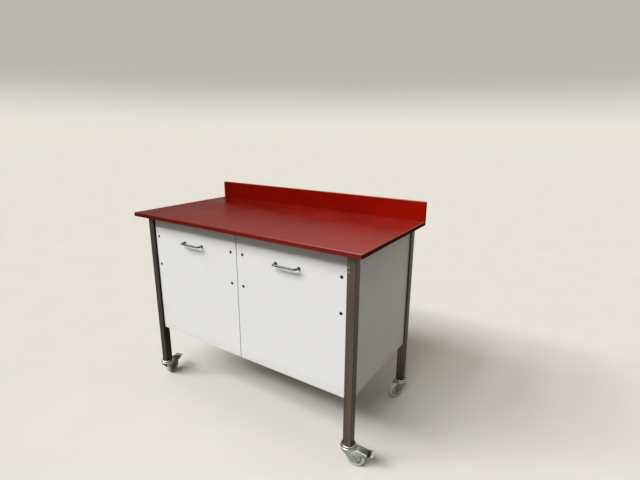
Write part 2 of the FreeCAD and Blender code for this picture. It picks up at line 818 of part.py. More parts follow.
def make_wheel(corner, x, y):
    """A ribbed core on the axle with a rubber tyre round it."""
    core = doc.addObject("PartDesign::Body", "WheelCore")
    half = [
        ("axle_radius + running_clearance", "hub_length / 2"), ("hub_radius", "hub_length / 2"),
        ("hub_radius", "core_web / 2"), ("core_radius - core_rim", "core_web / 2"),
        ("core_radius - core_rim", "core_rim_width / 2"), ("core_radius", "core_rim_width / 2"),
    ]
    section = half + [(radius, f"-({side})") for radius, side in reversed(half)]
    revolve(core, polygon(core, "XY_Plane", section))
    node(f"wheel_core_{corner}", turn(core, corner, x, y, "wheel_radius", "trail"))
    tyre = doc.addObject("PartDesign::Body", "Tyre")
    inner = "core_radius + running_clearance"
    revolve(tyre, polygon(tyre, "XY_Plane", [
        (inner, "-tyre_width / 2"), ("wheel_radius", "-tyre_width / 2"),
        ("wheel_radius", "tyre_width / 2"), (inner, "tyre_width / 2"),
    ]))
    dress(tyre, "Fillet", "tyre_round", on_outer_rim)
    node(f"tyre_{corner}", turn(tyre, corner, x, y, "wheel_radius", "trail"))


def make_pedal(corner, x, y):
    """A pressed brake pedal with skirts outside the fork, stub pins in its cheeks and a raised toe."""
    pedal = doc.addObject("PartDesign::Body", "Pedal")
    pivot_edge = "pivot_x - pivot_lug - seat_gap"
    slope_end = "toe_x - toe_bend"
    skirt = polygon(pedal, "XZ_Plane", [
        (pivot_edge, "pivot_z - pivot_lug"), (pivot_edge, "pivot_z + pivot_lug"),
        ("fork_top", "crown_low - pedal_sheet"), ("pedal_start", "pedal_top"), (slope_end, "toe_z"),
        (slope_end, "toe_z - skirt_toe"), ("pedal_start", "pedal_top - skirt_heel"),
    ])
    pad(pedal, skirt, "pedal_outer", midplane=True)

    def hollow(width):
        """Clear the space between the skirts."""
        outline = polygon(pedal, "YZ_Plane", [
            (f"-{width} / 2", "0"), (f"{width} / 2", "0"),
            (f"{width} / 2", "caster_height"), (f"-{width} / 2", "caster_height"),
        ])
        pocket(pedal, outline, "pedal_span", midplane=True)

    hollow("pedal_inner")
    pivot = circle(pedal, "XZ_Plane", ("pivot_x", "pivot_z"), "pivot_radius")
    pad(pedal, pivot, "pedal_inner + pedal_sheet", midplane=True)
    hollow("(fork_inner + 2 * seat_gap)")
    upper = [
        ("pedal_start", "pedal_top"), (slope_end, "toe_z"), ("toe_x", "toe_z + toe_rise"),
        ("pedal_reach - toe_bend", "toe_z + toe_rise / 2"), ("pedal_reach", "toe_z - toe_rise / 2"),
    ]
    lower = [(along, f"{height} - pedal_sheet") for along, height in reversed(upper)]
    pad(pedal, polygon(pedal, "XZ_Plane", upper + lower), "pedal_outer", midplane=True)
    node(f"brake_pedal_{corner}", turn(pedal, corner, x, y, "0"))


def make_casters():
    make_caster_heads()
    for corner, x, y in CASTERS:
        make_fork(corner, x, y)
        make_axle(corner, x, y)
        make_wheel(corner, x, y)
        if corner in BRAKED:
            make_pedal(corner, x, y)


# Build, check and write

def check():
    """Stop if any object failed or any sub-part is empty or broken."""
    doc.recompute()
    failed = [thing.Label for thing in doc.Objects if {"Invalid", "Error"} & set(thing.State)]
    if failed:
        raise RuntimeError("failed: " + ", ".join(failed))
    for label, thing in NODES.items():
        shape = thing.Shape
        if shape.isNull() or not shape.isValid() or not shape.Solids:
            raise RuntimeError("bad shape: " + label)


def write():
    """Write each sub-part to a file of its own."""
    os.makedirs("parts", exist_ok=True)
    for label, thing in NODES.items():
        thing.Shape.exportStep(os.path.join("parts", label + ".step"))
        print(f"{label}: {len(thing.Shape.Solids)} solids, {thing.Shape.Volume / 1000:.1f} cm3")


make_tabletop()
make_backsplash()
make_legs()
make_cross_rails()
make_side_rails()
make_side_panels()
make_back_panel()
make_panel_screws()
make_cabinet_inside()
make_fronts()
make_trays()
make_front_bolts()
make_handles()
make_slides()
make_casters()
check()
write()
print(len(NODES), "sub-parts")
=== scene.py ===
"""Looks of the cutting table: finishes for the CAD nodes, and finer casters, tray rims and fasteners.

Lengths are metres in the CAD frame. Profiles are written in millimetres and scaled by MM.
"""

import json
from functools import partial
from math import radians

import bmesh
import bpy
import numpy as np
from bpy.props import FloatProperty, FloatVectorProperty, PointerProperty
from mathutils import Matrix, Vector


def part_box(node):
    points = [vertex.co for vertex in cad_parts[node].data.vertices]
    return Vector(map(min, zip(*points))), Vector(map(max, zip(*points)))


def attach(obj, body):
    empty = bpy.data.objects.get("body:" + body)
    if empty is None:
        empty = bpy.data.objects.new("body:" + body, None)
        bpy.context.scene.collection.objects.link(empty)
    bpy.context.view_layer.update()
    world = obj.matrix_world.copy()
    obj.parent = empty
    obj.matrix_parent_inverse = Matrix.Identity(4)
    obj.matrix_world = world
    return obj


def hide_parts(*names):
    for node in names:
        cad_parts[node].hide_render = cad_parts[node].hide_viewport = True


bl_info = {
    "name": "Cutting Table",
    "version": (1, 0, 0),
    "blender": (4, 5, 0),
    "location": "3D View > Sidebar > Table",
    "description": "Finishes and fine pieces of a cutting table on casters",
    "category": "Object",
}

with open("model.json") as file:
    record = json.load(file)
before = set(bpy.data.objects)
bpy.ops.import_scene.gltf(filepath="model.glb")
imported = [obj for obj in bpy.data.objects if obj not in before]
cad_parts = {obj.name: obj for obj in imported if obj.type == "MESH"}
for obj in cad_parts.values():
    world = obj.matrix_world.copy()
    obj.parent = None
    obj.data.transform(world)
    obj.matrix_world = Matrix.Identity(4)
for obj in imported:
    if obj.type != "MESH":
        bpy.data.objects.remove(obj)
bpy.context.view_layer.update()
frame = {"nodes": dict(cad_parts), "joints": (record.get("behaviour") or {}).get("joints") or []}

MM = 0.001
FULL_TURN = 2 * np.pi
JOINTS = {joint["name"]: joint for joint in frame["joints"]}
SIDES = ("left", "right")
LONG_EDGES = ("front", "rear")
CORNERS = ("front_right", "front_left", "rear_right", "rear_left")
BRAKED = ("front_right", "front_left")
# the caster painted as lit: no painted shade on its fork, and painted highlights on its pedal
LIT_CORNER = "front_right"
# painted shade on the cheeks of each caster's fork, as a share
FORK_SHADE = {"front_right": 0, "front_left": 0.9, "rear_right": 0.55, "rear_left": 0.55}
# the ends of the top, its underside and its work surface
(LEFT, _, UNDERSIDE), (RIGHT, _, SURFACE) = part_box("tabletop")
# the lower edge of the drawer fronts
FRONT_FOOT = 332 * MM
# where the two small screws sit on the front right leg, as x and z in mm
LEG_SCREWS = ((619.5, 937.3), (619.8, 918.2))

# how far the floor reaches, how much of its light it throws back, and how the lamps lift its colour
FLOOR_REACH = 40
FLOOR_BOUNCE = 0.08
FLOOR_GAIN = (1.19, 1.18, 1.113)
# for each metre to the front, where the row of lamps starts and ends, and how high its first five lamps are
LAMP_ENDS = (-1.5, 0.3)
LAMP_RISES = (0.97, 1.37, 1.02, 1.66, 1.1)
# the camera's place, the directions of its back and its upper edge, and its lens in mm
CAMERA_PLACE = (1.3589954, -1.6533966, 1.4624239)
CAMERA_BACK = (0.52501, -0.81055, 0.25957)
CAMERA_UP = (-0.14731, 0.21384, 0.96570)
SENSOR_WIDTH, FOCAL_LENGTH = 36, 23.15


# Colours and nodes

def linear(code):
    """sRGB hex as linear red, green, blue: v / 12.92 up to 0.04045, and ((v + 0.055) / 1.055)^2.4 above."""
    value = np.array([int(code[i:i + 2], 16) for i in (0, 2, 4)]) / 255
    return tuple(np.where(value <= 0.04045, value / 12.92, ((value + 0.055) / 1.055) ** 2.4))


def shade(colour, share):
    """The colour made darker or lighter by a share, with full opacity, as a node's socket takes it."""
    return (*np.clip(np.array(colour) * share, 0, 1), 1)


def put(tree, kind, inputs=None, out=0, **settings):
    """Adds one shader node, with its settings, and its inputs as plain values or as links from other sockets.

    Sockets that share a name go by number. On Map Range, 1 and 2 are the range read and 3 and 4 the range
    given. On Mix, 0 is the share, 2 and 3 are the numbers mixed and 6 and 7 the colours.
    """
    node = tree.nodes.new(f"ShaderNode{kind}")
    for name, value in settings.items():
        setattr(node, name, value)
    for key, value in (inputs or {}).items():
        if isinstance(value, bpy.types.NodeSocket):
            tree.links.new(value, node.inputs[key])
        else:
            node.inputs[key].default_value = value
    return node.outputs[out] if node.outputs else None


def start(name):
    """The named material with an empty tree, and put() bound to that tree."""
    material = bpy.data.materials.get(name) or bpy.data.materials.new(name)
    material.use_nodes = True
    material.node_tree.nodes.clear()
    return material, partial(put, material.node_tree)


# Materials

def worn_red_polyethylene(finishes):
    """Polyethylene board, planed and then worn by knives and washing.

    A waxy half-gloss. The colour runs right through, so cuts and rubbed corners only turn paler. It is
    painted darker towards its left end and on its work surface as painted shade, and paler at the front
    right, on the chamfer and on the upstand's upper side, partly as wear and partly as painted sheen and
    highlight. The sawn edges are dull and painted dark, with grime and with painted shade on the ends that
    face sideways.
    """
    material, add = start("worn_red_polyethylene")
    red = finishes.board
    at = add("TexCoord", out="Object")
    normal = add("NewGeometry", out="True Normal")
    upward = add("SeparateXYZ", {"Vector": normal}, out="Z")
    on_top = add("MapRange", {"Value": upward, 1: 0.9, 2: 0.99})
    along, depth, height = (add("SeparateXYZ", {"Vector": at}, out=way) for way in "XYZ")
    # the edges of the top board and the ends of the upstand are sawn
    upright = add("Math", {0: upward, 1: 0, 2: 0.5}, operation="COMPARE")
    below = add("Math", {0: height, 1: SURFACE - 0.5 * MM}, operation="LESS_THAN")
    edge = add("Math", {0: upright, 1: below}, operation="MULTIPLY")
    sideways = add("SeparateXYZ", {"Vector": normal}, out="X")
    flat = add("Math", {0: sideways, 1: 0, 2: 0.5}, operation="COMPARE")
    sawn = add("Mix", {0: flat, 2: 1, 3: edge})
    # patches of about 140 mm where washing has dulled the board
    patches = add("TexNoise", {"Vector": at, "Scale": 1 / (140 * MM), "Detail": 4, "Roughness": 0.6})
    washed = add("MapRange", {"Value": patches, 1: 0.36, 2: 0.66}, interpolation_type="SMOOTHSTEP")
    mottled = add("Mix", {0: washed, 6: shade(red, 0.9), 7: shade(red, 1.1)}, 2, data_type="RGBA")
    # painted shade: the board is painted darker towards its left end and lighter towards its right end
    left_end_shade = add("MapRange", {"Value": along, 1: LEFT, 2: RIGHT, 3: 0.58, 4: 1.16})
    # grime and painted shade: the sawn edges are painted darker, and the ends that face sideways darkest, as
    # painted shade
    edge_grime_and_end_shade = add("Mix", {0: flat, 2: 0.36, 3: 0.66})
    grime_and_shade = add("Mix", {0: sawn, 2: 1, 3: edge_grime_and_end_shade})
    # painted shade: the work surface is painted a little darker than the upright faces
    stains_and_top_shade = add("MapRange", {"Value": on_top, 3: 1, 4: 0.87})
    darkened = add("Math", {0: grime_and_shade, 1: stains_and_top_shade}, operation="MULTIPLY")
    shaded = add("Math", {0: left_end_shade, 1: darkened}, operation="MULTIPLY")
    base = add("VectorMath", {0: mottled, "Scale": shaded}, operation="SCALE")
    # knife cuts of 0.3 mm, drawn 2 mm wide and 150 mm long so that they show, in two slants
    cuts = []
    for slant in (24, -38):
        turned_at = add("Mapping", {"Vector": at, "Rotation": (0, 0, radians(slant))})
        drawn = add("Mapping", {"Vector": turned_at, "Scale": (1 / (150 * MM), 1 / (2 * MM), 1)})
        streak = add("TexNoise", {"Vector": drawn, "Scale": 1, "Detail": 1})
        cuts.append(add("MapRange", {"Value": streak, 1: 0.66, 2: 0.76}))
    both = add("Math", {0: cuts[0], 1: cuts[1]}, operation="MAXIMUM")
    cut = add("Math", {0: both, 1: on_top}, operation="MULTIPLY")
    often = add("MapRange", {"Value": washed, 3: 0.02, 4: 0.18})
    faint = add("Math", {0: cut, 1: often}, operation="MULTIPLY")
    paler = (*(0.6 * np.array(red) + 0.4 * np.array(linear("e0b0a4"))), 1)
    # a pale haze towards the front right, partly fine cuts from use and partly a painted sheen
    hazed = add("MapRange", {"Value": along, 1: LEFT, 2: RIGHT, 3: 0, 4: 0.28})
    towards_front = add("MapRange", {"Value": depth, 1: 0.1, 2: -0.3, 3: 0.2})
    use_and_sheen = add("Math", {0: hazed, 1: towards_front}, operation="MULTIPLY")
    # painted highlight: the upstand's upper side is painted pale
    ledge = add("Math", {0: height, 1: SURFACE + 10 * MM}, operation="GREATER_THAN")
    brush_lines_and_ledge_highlight = add("MapRange", {"Value": along, 1: LEFT, 2: RIGHT, 3: 0, 4: 0.75})
    wear_and_sheen = add("Mix", {0: ledge, 2: use_and_sheen, 3: brush_lines_and_ledge_highlight})
    haze = add("Math", {0: wear_and_sheen, 1: on_top}, operation="MULTIPLY")
    cuts_and_sheen = add("Math", {0: faint, 1: haze}, operation="ADD")
    # dust holds on the sawn edges
    chalky = add("MapRange", {"Value": along, 1: LEFT, 2: RIGHT, 3: 0.03, 4: 0.09})
    dusted = add("Math", {0: chalky, 1: edge}, operation="MULTIPLY")
    pale = add("Math", {0: cuts_and_sheen, 1: dusted}, operation="ADD")
    scored_and_sheened = add("Mix", {0: pale, 6: base, 7: paler}, 2, data_type="RGBA")
    # the chamfer is painted pale, most of all at the right: partly rubbed wear, partly a painted highlight
    on_edge = add("Math", {0: upward, 1: 0.707, 2: 0.2}, operation="COMPARE")
    towards_right = add("MapRange", {"Value": along, 1: 0, 2: RIGHT, 3: 0.1, 4: 1})
    pale_highlight = add("Math", {0: on_edge, 1: towards_right}, operation="MULTIPLY")
    colour = add("Mix", {0: pale_highlight, 6: scored_and_sheened, 7: paler}, 2, data_type="RGBA")
    waxy = add("MapRange", {"Value": patches, 1: 0.3, 2: 0.7, 3: 0.22, 4: 0.38})
    gloss = add("Mix", {0: sawn, 2: waxy, 3: 0.9})
    # planed grain of 2.5 mm
    grain = add("TexNoise", {"Vector": at, "Scale": 1 / (2.5 * MM), "Detail": 2})
    relief = add("Math", {0: grain, 1: cut}, operation="SUBTRACT")
    bump = add("Bump", {"Height": relief, "Strength": 0.12, "Distance": 0.4 * MM})
    shader = add("BsdfPrincipled", {"Base Color": colour, "Roughness": gloss, "Normal": bump,
                                    "IOR": 1.51, "Specular IOR Level": 0.02})
    add("OutputMaterial", {"Surface": shader})
    return material


def white_polyethylene_sheet(finishes):
    """Extruded polyethylene sheet: smooth, faintly waxy white with light scuffs, greyer towards the floor."""
    material, add = start("white_polyethylene_sheet")
    white = finishes.sheet
    at = add("TexCoord", out="Object")
    height = add("SeparateXYZ", {"Vector": at}, out="Z")
    # soft mottling of about 200 mm
    mottle = add("TexNoise", {"Vector": at, "Scale": 1 / (200 * MM), "Detail": 3})
    soft = add("MapRange", {"Value": mottle, 1: 0.3, 2: 0.7})
    base = add("Mix", {0: soft, 6: shade(white, 0.975), 7: shade(white, 1.01)}, 2, data_type="RGBA")
    # wipe marks of 1 mm, drawn 3 mm high and 200 mm long so that they show
    wiped_at = add("Mapping", {"Vector": at, "Rotation": (0.1, 0.16, 0),
                               "Scale": (1 / (200 * MM), 1 / (200 * MM), 1 / (3 * MM))})
    wipes_and_side_shade = add("TexNoise", {"Vector": wiped_at, "Scale": 1, "Detail": 2})
    marks = add("MapRange", {"Value": wipes_and_side_shade, 1: 0.62, 2: 0.8, 4: 0.10})
    grey = (*linear("a8a49c"), 1)
    marked = add("Mix", {0: marks, 6: base, 7: grey}, 2, data_type="RGBA")
    # floor dust on the lowest 60 mm, broken up by the mottling
    low = add("MapRange", {"Value": height, 1: FRONT_FOOT, 2: FRONT_FOOT + 60 * MM, 3: 0.22, 4: 0})
    dusty = add("Math", {0: low, 1: mottle}, operation="MULTIPLY")
    colour = add("Mix", {0: dusty, 6: marked, 7: grey}, 2, data_type="RGBA")
    gloss = add("MapRange", {"Value": wipes_and_side_shade, 1: 0.3, 2: 0.7, 3: 0.4, 4: 0.54})
    # extrusion ripple of about 6 mm
    ripple = add("TexNoise", {"Vector": at, "Scale": 1 / (6 * MM), "Detail": 1})
    bump = add("Bump", {"Height": ripple, "Strength": 0.06, "Distance": 0.3 * MM})
    shader = add("BsdfPrincipled", {"Base Color": colour, "Roughness": gloss, "Normal": bump, "IOR": 1.51})
    add("OutputMaterial", {"Surface": shader})
    return material


def ground_stainless_tube(finishes, axis):
    """Stainless tube ground lengthwise on a belt: long streaks along the tube and a dull, broken reflection.

    It is painted darker as painted shade on its right side, as a painted shadow close under the top, and
    towards the rear and the left.
    """
    material, add = start(f"ground_stainless_tube_{'xyz'[axis]}")
    steel = finishes.tube
    at = add("TexCoord", out="Object")
    # belt marks of 0.2 mm, drawn 1.6 mm and 8 mm wide so that they show, and 400 mm long
    streaks = []
    for width in (1.6, 8):
        scale = [1 / (width * MM)] * 3
        scale[axis] = 1 / (400 * MM)
        drawn = add("Mapping", {"Vector": at, "Scale": scale})
        streaks.append(add("TexNoise", {"Vector": drawn, "Scale": 1, "Detail": 2}))
    mixed = add("Mix", {0: 0.6, 2: streaks[0], 3: streaks[1]})
    band = add("MapRange", {"Value": mixed, 1: 0.34, 2: 0.66})
    base = add("Mix", {0: band, 6: shade(steel, 0.72), 7: shade(steel, 1.22)}, 2, data_type="RGBA")
    # hand and water stains of about 50 mm
    stain = add("TexNoise", {"Vector": at, "Scale": 1 / (50 * MM), "Detail": 3})
    stains_and_top_shade = add("MapRange", {"Value": stain, 1: 0.5, 2: 0.8, 4: 0.3}, interpolation_type="SMOOTHSTEP")
    metal = add("Mix", {0: stains_and_top_shade, 6: base, 7: (*linear("6a6252"), 1)}, 2, data_type="RGBA")
    sideways = add("SeparateXYZ", {"Vector": add("NewGeometry", out="Normal")}, out="X")
    # painted shade: faces turned to the right are painted darker
    wipes_and_side_shade = add("MapRange", {"Value": sideways, 1: 0.4, 2: 0.9, 3: 1, 4: 0.47})
    along, depth, height = (add("SeparateXYZ", {"Vector": at}, out=way) for way in "XYZ")
    # painted shadow and shade: the tube is painted darker in the last 42 mm under the top, and towards the
    # left and the rear, and is lightest at the front right leg
    under_top_shadow = add("MapRange", {"Value": height, 1: UNDERSIDE - 42 * MM, 2: UNDERSIDE - 27 * MM, 3: 1, 4: 0.6})
    left_shade = add("MapRange", {"Value": along, 1: -0.6, 2: 0.6, 3: 0.47, 4: 1})
    rear_shade = add("MapRange", {"Value": depth, 1: -0.25, 2: 0.3, 3: 1, 4: 0.72})
    left_and_rear_shade = add("Math", {0: left_shade, 1: rear_shade}, operation="MINIMUM")
    side_and_top_shade = add("Math", {0: wipes_and_side_shade, 1: under_top_shadow}, operation="MULTIPLY")
    painted_light_and_shade = add("Math", {0: side_and_top_shade, 1: left_and_rear_shade}, operation="MULTIPLY")
    colour = add("VectorMath", {0: metal, "Scale": painted_light_and_shade}, operation="SCALE")
    gloss = add("MapRange", {"Value": mixed, 1: 0.3, 2: 0.7, 3: 0.46, 4: 0.34})
    bump = add("Bump", {"Height": streaks[0], "Strength": 0.12, "Distance": 0.1 * MM})
    shader = add("BsdfPrincipled", {"Base Color": colour, "Roughness": gloss, "Normal": bump, "Metallic": 1})
    add("OutputMaterial", {"Surface": shader})
    return material


def satin_stainless_sheet(finishes):
    """Stainless sheet brushed in one direction: fine level lines and a soft satin reflection."""
    material, add = start("satin_stainless_sheet")
    steel = finishes.tray
    at = add("TexCoord", out="Object")
    normal = add("NewGeometry", out="True Normal")
    upward = add("SeparateXYZ", {"Vector": normal}, out="Z")
    flat = add("Math", {0: upward}, operation="ABSOLUTE")
    # brush lines of 0.15 mm, drawn 1.5 mm wide so that they show, and 250 mm long
    lines = []
    fine, long = 1 / (1.5 * MM), 1 / (250 * MM)
    for scale in ((long, long, fine), (fine, long, long)):
        drawn = add("Mapping", {"Vector": at, "Scale": scale})
        lines.append(add("TexNoise", {"Vector": drawn, "Scale": 1, "Detail": 2}))
    brush_lines_and_ledge_highlight = add("Mix", {0: flat, 2: lines[0], 3: lines[1]})
    band = add("MapRange", {"Value": brush_lines_and_ledge_highlight, 1: 0.34, 2: 0.66})
    colour = add("Mix", {0: band, 6: shade(steel, 0.84), 7: shade(steel, 1.1)}, 2, data_type="RGBA")
    gloss = add("MapRange", {"Value": brush_lines_and_ledge_highlight, 1: 0.3, 2: 0.7, 3: 0.42, 4: 0.3})
    bump = add("Bump", {"Height": brush_lines_and_ledge_highlight, "Strength": 0.08, "Distance": 0.1 * MM})
    shader = add("BsdfPrincipled", {"Base Color": colour, "Roughness": gloss, "Normal": bump, "Metallic": 1})
    add("OutputMaterial", {"Surface": shader})
    return material


def polished_stainless_bar(finishes):
    """Stainless bar, polished and finely scratched: painted bright on top and nearly black below, a painted
    reflection.
    """
    material, add = start("polished_stainless_bar")
    steel = finishes.bar
    at = add("TexCoord", out="Object")
    # scratches of 0.1 mm, drawn 0.8 mm apart so that they show, and smears of 30 mm
    scratch = add("TexNoise", {"Vector": at, "Scale": 1 / (0.8 * MM), "Detail": 3})
    smear = add("TexNoise", {"Vector": at, "Scale": 1 / (30 * MM), "Detail": 1})
    clouded = add("MapRange", {"Value": smear, 1: 0.35, 2: 0.65})
    # painted reflection: the underside is painted nearly black and the top bright
    painted_dark_below = add("Mix", {0: clouded, 6: shade(steel, 0.11), 7: shade(steel, 0.16)}, 2, data_type="RGBA")
    normal = add("NewGeometry", out="Normal")
    upward = add("SeparateXYZ", {"Vector": normal}, out="Z")
    pale_highlight = add("MapRange", {"Value": upward, 1: 0.55, 2: 0.9})
    colour = add("Mix", {0: pale_highlight, 6: painted_dark_below, 7: shade(steel, 1)}, 2, data_type="RGBA")
    gloss = add("MapRange", {"Value": smear, 1: 0.3, 2: 0.7, 3: 0.16, 4: 0.2})
    bump = add("Bump", {"Height": scratch, "Strength": 0.04, "Distance": 0.05 * MM})
    shader = add("BsdfPrincipled", {"Base Color": colour, "Roughness": gloss, "Normal": bump, "Metallic": 1})
    add("OutputMaterial", {"Surface": shader})
    return material


def blackened_steel_bolts(finishes):
    """Dome-head steel bolts, coloured nearly black, with a sharp small highlight."""
    material, add = start("blackened_steel_bolts")
    black = finishes.bolt
    at = add("TexCoord", out="Object")
    # lighter spots of about 3 mm
    rub = add("TexNoise", {"Vector": at, "Scale": 1 / (3 * MM), "Detail": 2})
    spread = add("MapRange", {"Value": rub, 1: 0.35, 2: 0.65})
    colour = add("Mix", {0: spread, 6: shade(black, 0.8), 7: shade(black, 1.3)}, 2, data_type="RGBA")
    gloss = add("MapRange", {"Value": rub, 1: 0.3, 2: 0.7, 3: 0.36, 4: 0.46})
    shader = add("BsdfPrincipled", {"Base Color": colour, "Roughness": gloss, "Metallic": 1})
    add("OutputMaterial", {"Surface": shader})
    return material


def plain_stainless_screws(finishes):
    """Cold-formed stainless screws: a grey, slightly frosted metal with darker hollows."""
    material, add = start("plain_stainless_screws")
    steel = finishes.screw
    at = add("TexCoord", out="Object")
    # frosting of about 1.2 mm
    frost = add("TexNoise", {"Vector": at, "Scale": 1 / (1.2 * MM), "Detail": 2})
    spread = add("MapRange", {"Value": frost, 1: 0.35, 2: 0.65})
    colour = add("Mix", {0: spread, 6: shade(steel, 0.8), 7: shade(steel, 1.1)}, 2, data_type="RGBA")
    gloss = add("MapRange", {"Value": frost, 1: 0.3, 2: 0.7, 3: 0.26, 4: 0.4})
    shader = add("BsdfPrincipled", {"Base Color": colour, "Roughness": gloss, "Metallic": 1})
    add("OutputMaterial", {"Surface": shader})
    return material


def zinc_plated_slides(finishes):
    """Roll-formed steel channel, zinc plated: cool grey with rolling lines along the channel."""
    material, add = start("zinc_plated_slides")
    zinc = finishes.slide
    at = add("TexCoord", out="Object")
    # rolling lines of 0.5 mm, drawn 1.5 mm wide so that they show, and 300 mm long
    drawn = add("Mapping", {"Vector": at, "Scale": (1 / (1.5 * MM), 1 / (300 * MM), 1 / (1.5 * MM))})
    lines = add("TexNoise", {"Vector": drawn, "Scale": 1, "Detail": 2})
    band = add("MapRange", {"Value": lines, 1: 0.35, 2: 0.65})
    colour = add("Mix", {0: band, 6: shade(zinc, 0.84), 7: shade(zinc, 1.08)}, 2, data_type="RGBA")
    gloss = add("MapRange", {"Value": lines, 1: 0.3, 2: 0.7, 3: 0.26, 4: 0.4})
    shader = add("BsdfPrincipled", {"Base Color": colour, "Roughness": gloss, "Metallic": 1})
    add("OutputMaterial", {"Surface": shader})
    return material


def bright_zinc_pressings(finishes):
    """Pressed steel, bright zinc plated: cloudy grey-green, dirty in hollows, painted shade where marked,
    painted highlights on bends.
    """
    material, add = start("bright_zinc_pressings")
    zinc = finishes.zinc
    at = add("TexCoord", out="Object")
    # cloudy plating of about 18 mm, and grime specks of 4 mm
    cloud = add("TexNoise", {"Vector": at, "Scale": 1 / (18 * MM), "Detail": 3})
    speck = add("TexNoise", {"Vector": at, "Scale": 1 / (4 * MM), "Detail": 2})
    spread = add("MapRange", {"Value": cloud, 1: 0.34, 2: 0.66})
    base = add("Mix", {0: spread, 6: shade(zinc, 0.78), 7: shade(zinc, 1.12)}, 2, data_type="RGBA")
    grime_and_shade = add("MapRange", {"Value": speck, 1: 0.58, 2: 0.74, 4: 0.4})
    # floor dirt settles on what faces up; where a piece is marked it is painted darker as painted shade, and
    # bends and a marked toe get painted highlights
    normal = add("NewGeometry", out="Normal")
    upward = add("SeparateXYZ", {"Vector": normal}, out="Z")
    flats = add("MapRange", {"Value": upward, 1: 0.8, 2: 0.97, 4: 0.5})
    marking = add("Attribute", out="Fac", attribute_name="dirt")
    settled_and_shaded = add("Math", {0: flats, 1: marking}, operation="ADD", use_clamp=True)
    dirt = add("Math", {0: grime_and_shade, 1: settled_and_shaded}, operation="MAXIMUM")
    soiled_and_shaded = add("Mix", {0: dirt, 6: base, 7: (*linear("3a382f"), 1)}, 2, data_type="RGBA")
    # painted highlight on the bends, where no shade is marked
    from_bend = add("Math", {0: upward, 1: 0.55}, operation="SUBTRACT")
    off_bend = add("Math", {0: from_bend}, operation="ABSOLUTE")
    bend = add("MapRange", {"Value": off_bend, 1: 0.12, 2: 0.35, 3: 0.55, 4: 0})
    unmarked = add("MapRange", {"Value": marking, 1: 0, 2: 0.6, 3: 1, 4: 0})
    painted_light_and_shade = add("Math", {0: bend, 1: unmarked}, operation="MULTIPLY")
    toe_highlight = add("MapRange", {"Value": marking, 1: 0, 2: -1})
    bright = add("Math", {0: painted_light_and_shade, 1: toe_highlight}, operation="MAXIMUM")
    colour = add("Mix", {0: bright, 6: soiled_and_shaded, 7: (*linear("eef0ea"), 1)}, 2, data_type="RGBA")
    plated = add("MapRange", {"Value": cloud, 1: 0.3, 2: 0.7, 3: 0.2, 4: 0.36})
    gloss = add("Mix", {0: settled_and_shaded, 2: plated, 3: 0.6})
    bump = add("Bump", {"Height": cloud, "Strength": 0.1, "Distance": 0.3 * MM})
    shader = add("BsdfPrincipled", {"Base Color": colour, "Roughness": gloss, "Normal": bump, "Metallic": 1})
    add("OutputMaterial", {"Surface": shader})
    return material


def moulded_nylon_core(finishes):
    """Injection-moulded nylon: an even pale grey, lightly textured and dusty, painted dark in its hollow as
    painted shade.
    """
    material, add = start("moulded_nylon_core")
    nylon = finishes.core
    at = add("TexCoord", out="Object")
    # mould texture of 1 mm and dust patches of 15 mm
    grain = add("TexNoise", {"Vector": at, "Scale": 1 / (1 * MM), "Detail": 2})
    dust = add("TexNoise", {"Vector": at, "Scale": 1 / (15 * MM), "Detail": 3})
    dusty = add("MapRange", {"Value": dust, 1: 0.4, 2: 0.7, 4: 0.35})
    hollow = add("Attribute", out="Fac", attribute_name="dirt")
    dirt = add("Math", {0: dusty, 1: hollow}, operation="MAXIMUM")
    colour = add("Mix", {0: dirt, 6: shade(nylon, 1), 7: (*linear("6a6254"), 1)}, 2, data_type="RGBA")
    gloss = add("MapRange", {"Value": dust, 1: 0.3, 2: 0.7, 3: 0.4, 4: 0.6})
    bump = add("Bump", {"Height": grain, "Strength": 0.1, "Distance": 0.1 * MM})
    shader = add("BsdfPrincipled", {"Base Color": colour, "Roughness": gloss, "Normal": bump, "IOR": 1.53})
    add("OutputMaterial", {"Surface": shader})
    return material


def grey_rubber_tyre(finishes):
    """Non-marking moulded rubber: a soft pale grey, scuffed, and brown with floor dirt on the tread."""
    material, add = start("grey_rubber_tyre")
    rubber = finishes.tyre
    at = add("TexCoord", out="Object")
    # scuffs of 6 mm and a fine grain of 0.8 mm
    scuff = add("TexNoise", {"Vector": at, "Scale": 1 / (6 * MM), "Detail": 4, "Roughness": 0.65})
    grain = add("TexNoise", {"Vector": at, "Scale": 1 / (0.8 * MM), "Detail": 1})
    wear_and_sheen = add("MapRange", {"Value": scuff, 1: 0.45, 2: 0.72, 4: 0.25})
    tread = add("Attribute", out="Fac", attribute_name="dirt")
    dirt = add("Math", {0: wear_and_sheen, 1: tread}, operation="ADD", use_clamp=True)
    colour = add("Mix", {0: dirt, 6: shade(rubber, 1), 7: (*linear("6e655a"), 1)}, 2, data_type="RGBA")
    gloss = add("MapRange", {"Value": scuff, 1: 0.3, 2: 0.7, 3: 0.4, 4: 0.7})
    bump = add("Bump", {"Height": grain, "Strength": 0.12, "Distance": 0.1 * MM})
    shader = add("BsdfPrincipled", {"Base Color": colour, "Roughness": gloss, "Normal": bump, "IOR": 1.52})
    add("OutputMaterial", {"Surface": shader})
    return material


